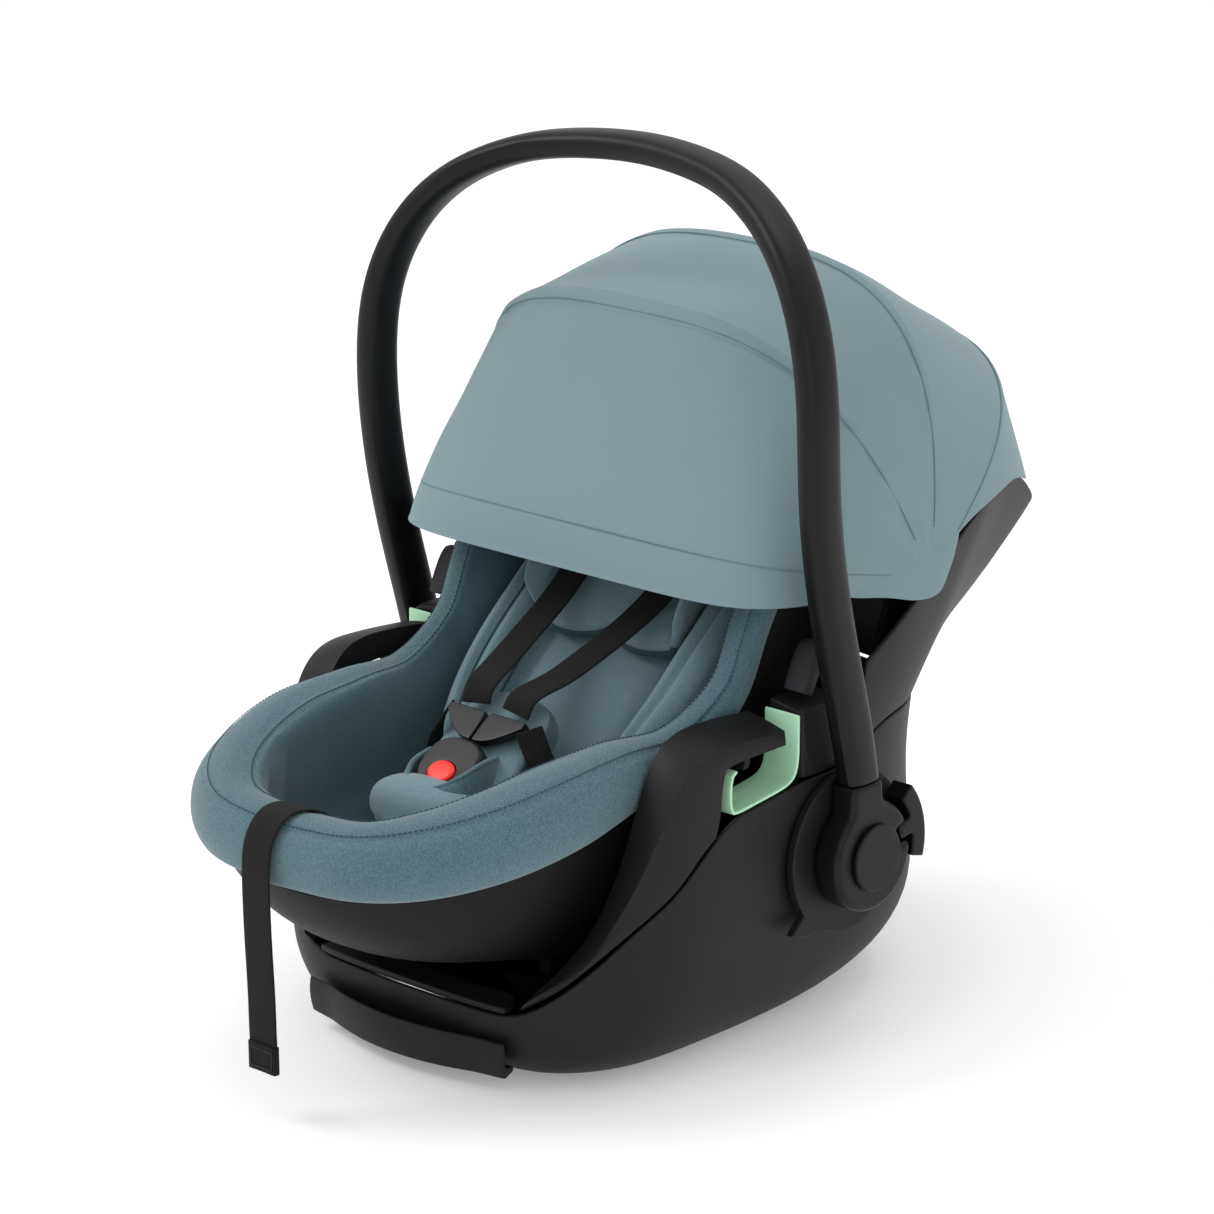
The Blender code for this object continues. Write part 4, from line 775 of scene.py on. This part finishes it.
def cushionPiece(name, top, under, finish):
    rows, columns = top.shape[:2]
    points = toFrame(np.vstack([top.reshape(-1, 3), under.reshape(-1, 3)]))
    below = rows * columns
    faces = []
    for r in range(rows - 1):
        for c in range(columns - 1):
            a = r * columns + c
            quad = (a, a + 1, a + columns + 1, a + columns)
            faces.append(quad)
            faces.append(tuple(below + k for k in reversed(quad)))
    border = list(range(columns))
    border += [r * columns + columns - 1 for r in range(1, rows)]
    border += [(rows - 1) * columns + c for c in range(columns - 2, -1, -1)]
    border += [r * columns for r in range(rows - 2, 0, -1)]
    for i, a in enumerate(border):
        b = border[(i + 1) % len(border)]
        faces.append((a, below + a, below + b, b))
    return meshPiece(name, points, faces, finish)


def roundTube(name, path, radius, finish, sides=10):
    path = np.asarray(path, float)
    tangent = unit(np.gradient(path, axis=0))
    side = unit(np.cross(tangent, (0.13, 0.27, 0.95)))
    normal = np.cross(tangent, side)
    turns = np.linspace(0, 2 * math.pi, sides, endpoint=False)
    rings = [[p + radius * (math.cos(a) * s + math.sin(a) * n) for a in turns]
             for p, s, n in zip(path, side, normal)]
    return tubePiece(name, rings, finish)


lyingLine = ((-0.1180, 0.1500), (-0.0950, 0.1530), (-0.0600, 0.1700), (-0.0200, 0.2020), (0.0200, 0.2370),
             (0.0500, 0.2620), (0.1000, 0.3050), (0.1500, 0.3480), (0.1900, 0.3820))
insert = {"rows": 45, "columns": 71, "half": 0.104, "fanY": -0.130, "fanZ": 0.480, "bolster": 0.034,
          "thinnest": 0.0030, "clear": 0.0040, "crown": 0.0030, "seams": (0.63, 0.815), "piping": 0.0010}


def bolsterShape(share):
    roll = max(0, math.sin(math.pi * min(1, max(0, (share - 0.60) / 0.46)))) ** 0.62
    dip = 0.30 * math.exp(-((share - 0.815) / 0.028) ** 2)
    edge = 0.16 * math.exp(-((share - 0.61) / 0.02) ** 2)
    return max(-0.1, roll - dip - edge)


def buildInsert():
    line = curveThrough(np.column_stack([np.zeros(len(lyingLine)), lyingLine]), insert["rows"])
    across = np.linspace(-1, 1, insert["columns"])
    top, under = [], []
    fan = Vector((0, insert["fanY"] - midY, insert["fanZ"]))
    for k, middle in enumerate(line):
        share = k / (insert["rows"] - 1)
        away = unit(np.array((0, middle[1] - insert["fanY"], middle[2] - insert["fanZ"])))
        width = insert["half"] * (0.62 + 0.38 * math.sin(math.pi / 2 * min(1, share * 2.5)))
        ends = math.sin(math.pi / 2 * min(1, (share + 0.05) / 0.35)) * math.sin(
            math.pi / 2 * min(1, (1.04 - share) / 0.3))
        topRow, underRow = [], []
        for x in across * width:
            out = abs(x) / width
            hit = coverTree.ray_cast(Vector((x, fan.y, fan.z)), Vector(away))[0]
            floor = np.array(hit) + np.array((0, midY, 0)) - away * insert["clear"]
            crown = insert["crown"] * (1 - (out / 0.6) ** 2) if out < 0.6 else 0.0
            lift = insert["bolster"] * ends * bolsterShape(out) + ends * crown
            lying = np.array((x, middle[1], middle[2])) - away * lift
            if float(np.dot(floor - lying, away)) < insert["thinnest"]:
                lying = floor - away * insert["thinnest"]
            topRow.append(lying)
            underRow.append(floor)
        top.append(topRow)
        under.append(underRow)
    top, under = np.array(top), np.array(under)
    piece = cushionPiece("newbornInsert", top, under, finishes["insert_fabric"])
    rows, columns = insert["rows"], insert["columns"]
    held = np.zeros(2 * rows * columns)
    for c in range(columns):
        out = abs(across[c])
        grip = max(math.exp(-((out - m) / 0.025) ** 2) for m in insert["seams"])
        held[c:rows * columns:columns] = grip
    held[rows * columns:] = 1
    puffed(piece, held, 2.4, 0.0035)
    addSubdivision(piece, 1)
    settled(piece)
    mounted(piece, "seat", "newborn_insert")
    for word, side in (("Right", 1), ("Left", -1)):
        for label, mark in zip(("Inner", "Outer"), insert["seams"]):
            column = int(round((side * mark + 1) / 2 * (columns - 1)))
            path = curveThrough(top[4:-3, column] + np.array((0, -0.0004, 0.0006)), 60)
            piping = roundTube(f"insertPiping{label}{word}", toFrame(path), insert["piping"], threadFinish)
            mounted(piping, "seat")


buildInsert()
print("newborn insert padded")

headrest = {"slope": math.radians(40.8), "foot": (0.050, 0.262), "lift": 0.0090, "half": 0.073, "rows": 41,
            "columns": 61, "from": -0.016, "to": 0.158, "piping": 0.0024}


def tiltedPoint(centre, tilt, x, along, above):
    c, s = math.cos(tilt), math.sin(tilt)
    return np.array((x, centre[0] + along * c - above * s, centre[1] + along * s + above * c))


def backPoint(x, along, above):
    return tiltedPoint(headrest["foot"], headrest["slope"], x, along, above)


def buildHeadrest():
    top, under = [], []
    for along in np.linspace(headrest["from"], headrest["to"], headrest["rows"]):
        middle = 1 - abs((along - 0.068) / 0.094) ** 4
        topRow, underRow = [], []
        for x in np.linspace(-1, 1, headrest["columns"]) * headrest["half"]:
            share = abs(x) / headrest["half"]
            lobe = 0.022 * math.sqrt(max(0, 1 - ((share - 0.47) / 0.53) ** 2)) - 0.008
            fade = min(1, max(0, (0.050 - along) / 0.05))
            reach = along - lobe * fade
            wing = 0.042 * min(1, max(0, (share - 0.82) / 0.16)) ** 1.5 * (0.55 + 0.45 * middle)
            low = headrest["lift"] + 0.0034 + 0.75 * wing
            full = max(0.0, middle) ** 0.6 * max(0.0, 1 - share ** 8) ** 0.5
            high = low + 0.004 + 0.012 * full + 0.25 * wing
            underRow.append(backPoint(x, reach, low))
            topRow.append(backPoint(x, reach, high))
        top.append(topRow)
        under.append(underRow)
    top, under = np.array(top), np.array(under)
    piece = cushionPiece("headrestCushion", top, under, finishes["headrest_fabric"])
    held = np.zeros(2 * headrest["rows"] * headrest["columns"])
    held[headrest["rows"] * headrest["columns"]:] = 1
    puffed(piece, held, 2.0, 0.0025)
    addSubdivision(piece, 1)
    settled(piece)
    mounted(piece, "headrest", "headrest_pad")
    edge = (top[0] + under[0]) / 2
    piping = roundTube("headrestPiping", toFrame(curveThrough(edge[4:-4], 140)), headrest["piping"],
                       threadFinish, 14)
    mounted(piping, "headrest")


buildHeadrest()
print("headrest padded")


# buckle, crotch pad and harness

buckle = {"centre": (-0.1400, 0.2060), "tilt": math.radians(38)}


def bucklePoint(x, along, above):
    return tiltedPoint(buckle["centre"], buckle["tilt"], x, along, above)


# share of the height, half width, half depth and middle of the crotch pad's sections
crotchProfile = ((0.0, 0.034, 0.038, -0.172), (0.12, 0.042, 0.046, -0.171), (0.5, 0.044, 0.047, -0.164),
                 (0.85, 0.039, 0.038, -0.153), (1.0, 0.028, 0.026, -0.148))


def buildCrotchPad():
    middle = coverTree.ray_cast(Vector((0, -0.172 - midY, 0.40)), Vector((0, 0, -1)))[0].z
    lid = bucklePoint(0, 0, -0.0200)
    turns = np.linspace(0, 2 * math.pi, 64, endpoint=False)
    rings, held = [], []
    for rise, halfX, halfY, middleY in curveThrough(crotchProfile, 22):
        ring = []
        for a in turns:
            x, y = halfX * math.cos(a), middleY + halfY * math.sin(a)
            hit = coverTree.ray_cast(Vector((x, y - midY, 0.40)), Vector((0, 0, -1)))[0].z
            floor = max(middle, hit) + 0.0040
            top = max(lid[2] + (y - lid[1]) * math.tan(buckle["tilt"]), floor + 0.0070)
            ring.append((x, y, floor + (top - floor) * rise))
            held.append(1.0 if rise < 0.1 else 0.0)
        rings.append(toFrame(ring))
    piece = tubePiece("crotchPad", rings, finishes["insert_fabric"])
    held += [1.0, 0.3]
    puffed(piece, held[:len(piece.data.vertices)], 2.4, 0.0040)
    addSubdivision(piece, 1)
    settled(piece)
    mounted(piece, "seat", "crotch_pad")


buildCrotchPad()
pocket = {"radius": 0.0290, "wall": 0.0026, "drop": 0.070, "flare": 0.0035, "forward": 0.040, "hem": 0.0019,
          "bulge": 0.0030, "columns": 61, "rows": 16}
pocketEdge = ((160, -0.008), (185, -0.001), (215, 0.003), (250, 0.0065), (300, 0.0095), (340, 0.0085),
              (372, 0.0020), (395, -0.0090), (412, -0.0200))


def buildBucklePocket():
    turns = np.linspace(pocketEdge[0][0], pocketEdge[-1][0], pocket["columns"])
    heights = np.interp(turns, *np.array(pocketEdge).T)
    heights = np.convolve(np.pad(heights, 4, mode="edge"), np.ones(9) / 9, mode="valid")
    grid = []
    for step in np.linspace(0, 1, pocket["rows"]):
        row = []
        for turn, high in zip(np.radians(turns), heights):
            bulge = pocket["bulge"] * math.sin(math.pi * min(1, step * 1.4))
            top = bucklePoint(pocket["radius"] * math.cos(turn), pocket["radius"] * math.sin(turn), high)
            away = np.array((math.cos(turn), 0.75 * math.sin(turn), 0)) * (pocket["flare"] * step + bulge)
            ahead = pocket["forward"] * (0.5 - 0.5 * math.sin(turn)) ** 1.5 * math.sin(math.pi / 2 * step)
            row.append(top + away - np.array((0, ahead, pocket["drop"] * step)))
        grid.append(row)
    grid = np.array(grid)
    faces = ringFaces(pocket["columns"], pocket["rows"], closed=False)
    piece = meshPiece("bucklePocket", toFrame(grid.reshape(-1, 3)), faces, finishes["cover_fabric"])
    wall = piece.modifiers.new("wall", "SOLIDIFY")
    wall.thickness = pocket["wall"]
    wall.offset = 0
    addSubdivision(piece, 1)
    mounted(settled(piece), "seat")
    hem = toFrame(grid[0] - np.array((0, 0, 0.0005)))
    piping = roundTube("bucklePocketHem", hem, pocket["hem"], finishes["cover_fabric"])
    mounted(piping, "seat")


crotchNose = {"centre": (0, -0.1610, 0.1765), "half": (0.0475, 0.0230, 0.0220), "seam": -0.35}


def buildCrotchNose():
    rings = []
    for v in np.linspace(-math.pi / 2, math.pi / 2, 40)[1:-1]:
        pinch = 1 - 0.045 * math.exp(-((math.sin(v) - crotchNose["seam"]) / 0.07) ** 2)
        ring = []
        for a in np.linspace(0, 2 * math.pi, 72, endpoint=False):
            across = abs(math.cos(v)) ** 0.75 * pinch
            x = math.copysign(abs(math.cos(a)) ** 0.85, math.cos(a)) * across
            y = math.copysign(abs(math.sin(a)) ** 0.85, math.sin(a)) * across
            z = math.copysign(abs(math.sin(v)) ** 0.9, math.sin(v))
            ring.append([c + h * u for c, h, u in zip(crotchNose["centre"], crotchNose["half"], (x, y, z))])
        rings.append(toFrame(ring))
    mounted(tubePiece("crotchNose", rings, finishes["insert_fabric"]), "seat")


shieldOutline = ((0.0, 0.0760), (0.0200, 0.0745), (0.0330, 0.0660), (0.0385, 0.0500), (0.0395, 0.0250),
                 (0.0380, -0.0050), (0.0300, -0.0250), (0.0, -0.0300))


def buildBuckleShield():
    half = np.array(shieldOutline)
    loop = closedLoop(np.vstack([half, half[-2:0:-1] * np.array((-1, 1))]), 120)
    middle = np.array((0, 0.0200))
    rings = []
    for above, share in ((-0.0400, 0.80), (-0.0400, 0.97), (-0.0385, 1.0), (-0.0300, 1.02), (-0.0225, 1.0),
                         (-0.0205, 0.975), (-0.0190, 0.92), (-0.0170, 0.70), (-0.0162, 0.40)):
        rings.append(toFrame([bucklePoint(*(middle + (p - middle) * share), above) for p in loop]))
    piece = tubePiece("buckleShield", rings, finishes["insert_fabric"])
    piece.data.materials.append(liningCloth)
    for polygon in piece.data.polygons:
        if min(polygon.vertices) < 4 * 120:         # the four lowest rings are the side band
            polygon.material_index = 1
    mounted(piece, "seat")


buildBucklePocket()
buildCrotchNose()
buildBuckleShield()
print("buckle cushions sewn")


# half of a strap's section, in shares of its width and thickness
ribbonHalf = ((-0.5, 0.0), (-0.485, -0.4), (-0.44, -0.5), (-0.15, -0.46), (0.15, -0.46), (0.44, -0.5),
              (0.485, -0.4))


def ribbon(name, path, width, thickness, reference, finish):
    path = np.asarray(path, float)
    tangent = unit(np.gradient(path, axis=0))
    reference = np.broadcast_to(np.asarray(reference, float), path.shape)
    side = unit(reference - tangent * np.sum(reference * tangent, axis=1, keepdims=True))
    normal = np.cross(tangent, side)
    outline = ribbonHalf + tuple((-u, -v) for u, v in ribbonHalf)
    rings = [[p + s * width * u + n * thickness * v for u, v in outline]
             for p, s, n in zip(path, side, normal)]
    piece = tubePiece(name, rings, finish)
    length = pathLengths(path)
    flat = piece.data.uv_layers.new(name="weave")
    count = len(outline)
    for loop in piece.data.loops:
        index = loop.vertex_index
        ring = min(index // count, len(path) - 1)
        across = outline[index % count][0] if index < count * len(path) else 0.0
        flat.data[loop.index].uv = (float(length[ring]), across * width)
    return piece, float(length[-1])


harness = {"width": 0.0255, "lapWidth": 0.0200, "thickness": 0.0019, "aboveBack": 0.0290,
           "lapSide": (0, 0.75, 0.65)}


def buildHarness():
    for word, side in (("Right", 1), ("Left", -1)):
        flip = np.array((side, 1, 1))
        lift = headrest["lift"] + harness["aboveBack"]
        route = [bucklePoint(0.0185, 0.0535, -0.0078), bucklePoint(0.0210, 0.068, -0.004),
                 (0.0290, -0.0500, 0.2560), backPoint(0.0380, -0.0150, lift + 0.004),
                 backPoint(0.0425, 0.0300, lift), backPoint(0.0430, 0.0800, lift),
                 backPoint(0.0430, 0.1250, lift)]
        path = toFrame(curveThrough(route, 70) * flip)
        strap = ribbon(f"shoulderStrap{word}", path, harness["width"], harness["thickness"], (1, 0, 0),
                       finishes["webbing"])[0]
        mounted(strap, "seat", f"shoulder_strap_{word.lower()}")
        lap = [bucklePoint(0.0378, 0.0450, -0.0078), (0.0480, -0.1010, 0.2110), (0.0560, -0.0960, 0.1940),
               (0.0590, -0.0930, 0.1760)]
        path = toFrame(curveThrough(lap, 36) * flip)
        strap = ribbon(f"lapStrap{word}", path, harness["lapWidth"], harness["thickness"], harness["lapSide"],
                       finishes["webbing"])[0]
        mounted(strap, "seat", f"lap_strap_{word.lower()}")


buildHarness()

# adjuster strap: out of the adjuster, over the foot roll and down to its sewn end
adjusterRoute = ((-0.2520, 0.1900), (-0.2580, 0.1975), (-0.2650, 0.2035), (-0.2740, 0.2085), (-0.2840, 0.2118),
                 (-0.2940, 0.2128), (-0.3035, 0.2105), (-0.3115, 0.2040), (-0.3170, 0.1945), (-0.3195, 0.1820),
                 (-0.3200, 0.1660), (-0.3197, 0.1450), (-0.3190, 0.1250), (-0.3180, 0.1050), (-0.3172, 0.0850),
                 (-0.3168, 0.0650), (-0.3165, 0.0540))
adjuster = {"width": 0.026, "thickness": 0.0018, "foldThickness": 0.0052}


def buildAdjusterStrap():
    path = toFrame([(0, y, z) for y, z in adjusterRoute])
    smooth = curveThrough(path, 110)
    strap, length = ribbon("adjusterStrap", smooth, adjuster["width"], adjuster["thickness"], (1, 0, 0),
                           finishes["webbing"])
    sewn = toFrame([(0, -0.3165, 0.0536), (0, -0.3165, 0.0500), (0, -0.3164, 0.0440), (0, -0.3164, 0.0380),
                    (0, -0.3164, 0.0344)])
    fold = ribbon("adjusterStrapEnd", curveThrough(sewn, 14), adjuster["width"], adjuster["foldThickness"],
                  (1, 0, 0), finishes["webbing"])[0]
    for piece, node in ((strap, "adjuster_strap"), (fold, "strap_end")):
        mounted(piece, "seat", node)
    half = adjuster["width"] / 2 - 0.003
    front = -0.3164 - midY - adjuster["foldThickness"] / 2 - 0.0002
    corners = [(-half, front, 0.0500), (half, front, 0.0500), (half, front, 0.0375), (-half, front, 0.0375)]
    box = [Vector(a).lerp(Vector(b), t) for a, b in zip(corners, corners[1:] + corners[:1])
           for t in np.linspace(0, 1, 12, endpoint=False)]
    rows = stitchRows("strapEndStitches", [box + box[:1]], finishes["lever_rubber"], 0.0022)
    mounted(rows, "seat")


buildAdjusterStrap()
print("harness threaded")


# floor, light and camera

studio = {"floorHalf": 14.0, "paper": 0.90, "glow": 0.22, "sky": 0.85, "aim": (0, 0, 0.25)}
lamps = (("key", (-1.6, -1.5, 2.4), 1.6, 34), ("fill", (2.4, -1.6, 1.3), 1.8, 8),       # place, size, watts
         ("top", (0.2, 0.8, 2.8), 1.8, 14))
view = {"azimuth": 42.5, "elevation": 17, "distance": 3.2, "target": (0, 0.02 - midY, 0.28), "lens": 135.7}


def buildStudio():
    scene = bpy.context.scene
    edge = studio["floorHalf"]
    mesh = bpy.data.meshes.new("floor")
    corners = [(-edge, -edge, 0), (edge, -edge, 0), (edge, edge, 0), (-edge, edge, 0)]
    mesh.from_pydata(corners, [], [(0, 1, 2, 3)])
    floor = bpy.data.objects.new("floor", mesh)
    scene.collection.objects.link(floor)
    paint = bpy.data.materials.new("floor paint")
    paint.use_nodes = True
    paper = paint.node_tree.nodes["Principled BSDF"]
    paper.inputs["Base Color"].default_value = (studio["paper"],) * 3 + (1,)
    paper.inputs["Roughness"].default_value = 0.9
    paper.inputs["Emission Color"].default_value = (1, 1, 1, 1)
    paper.inputs["Emission Strength"].default_value = studio["glow"]
    floor.data.materials.append(paint)
    world = bpy.data.worlds.new("studio")
    world.use_nodes = True
    world.node_tree.nodes["Background"].inputs["Color"].default_value = (1, 1, 1, 1)
    world.node_tree.nodes["Background"].inputs["Strength"].default_value = studio["sky"]
    scene.world = world
    scene.view_settings.view_transform = "Standard"
    for name, place, size, power in lamps:
        lamp = bpy.data.lights.new(name, "AREA")
        lamp.shape = "DISK"
        lamp.size = size
        lamp.energy = power
        holder = bpy.data.objects.new(name, lamp)
        holder.location = place
        holder.rotation_euler = (Vector(studio["aim"]) - Vector(place)).to_track_quat("-Z", "Y").to_euler()
        scene.collection.objects.link(holder)


def buildCamera():
    azimuth, elevation = math.radians(view["azimuth"]), math.radians(view["elevation"])
    back = Vector((math.sin(azimuth) * math.cos(elevation), -math.cos(azimuth) * math.cos(elevation),
                   math.sin(elevation)))
    lens = bpy.data.cameras.new("camera")
    lens.sensor_width = 36
    lens.lens = view["lens"]
    camera = bpy.data.objects.new("camera", lens)
    camera.location = Vector(view["target"]) + back * view["distance"]
    camera.rotation_euler = back.to_track_quat("Z", "Y").to_euler()
    bpy.context.scene.collection.objects.link(camera)
    bpy.context.scene.camera = camera


buildStudio()
buildCamera()
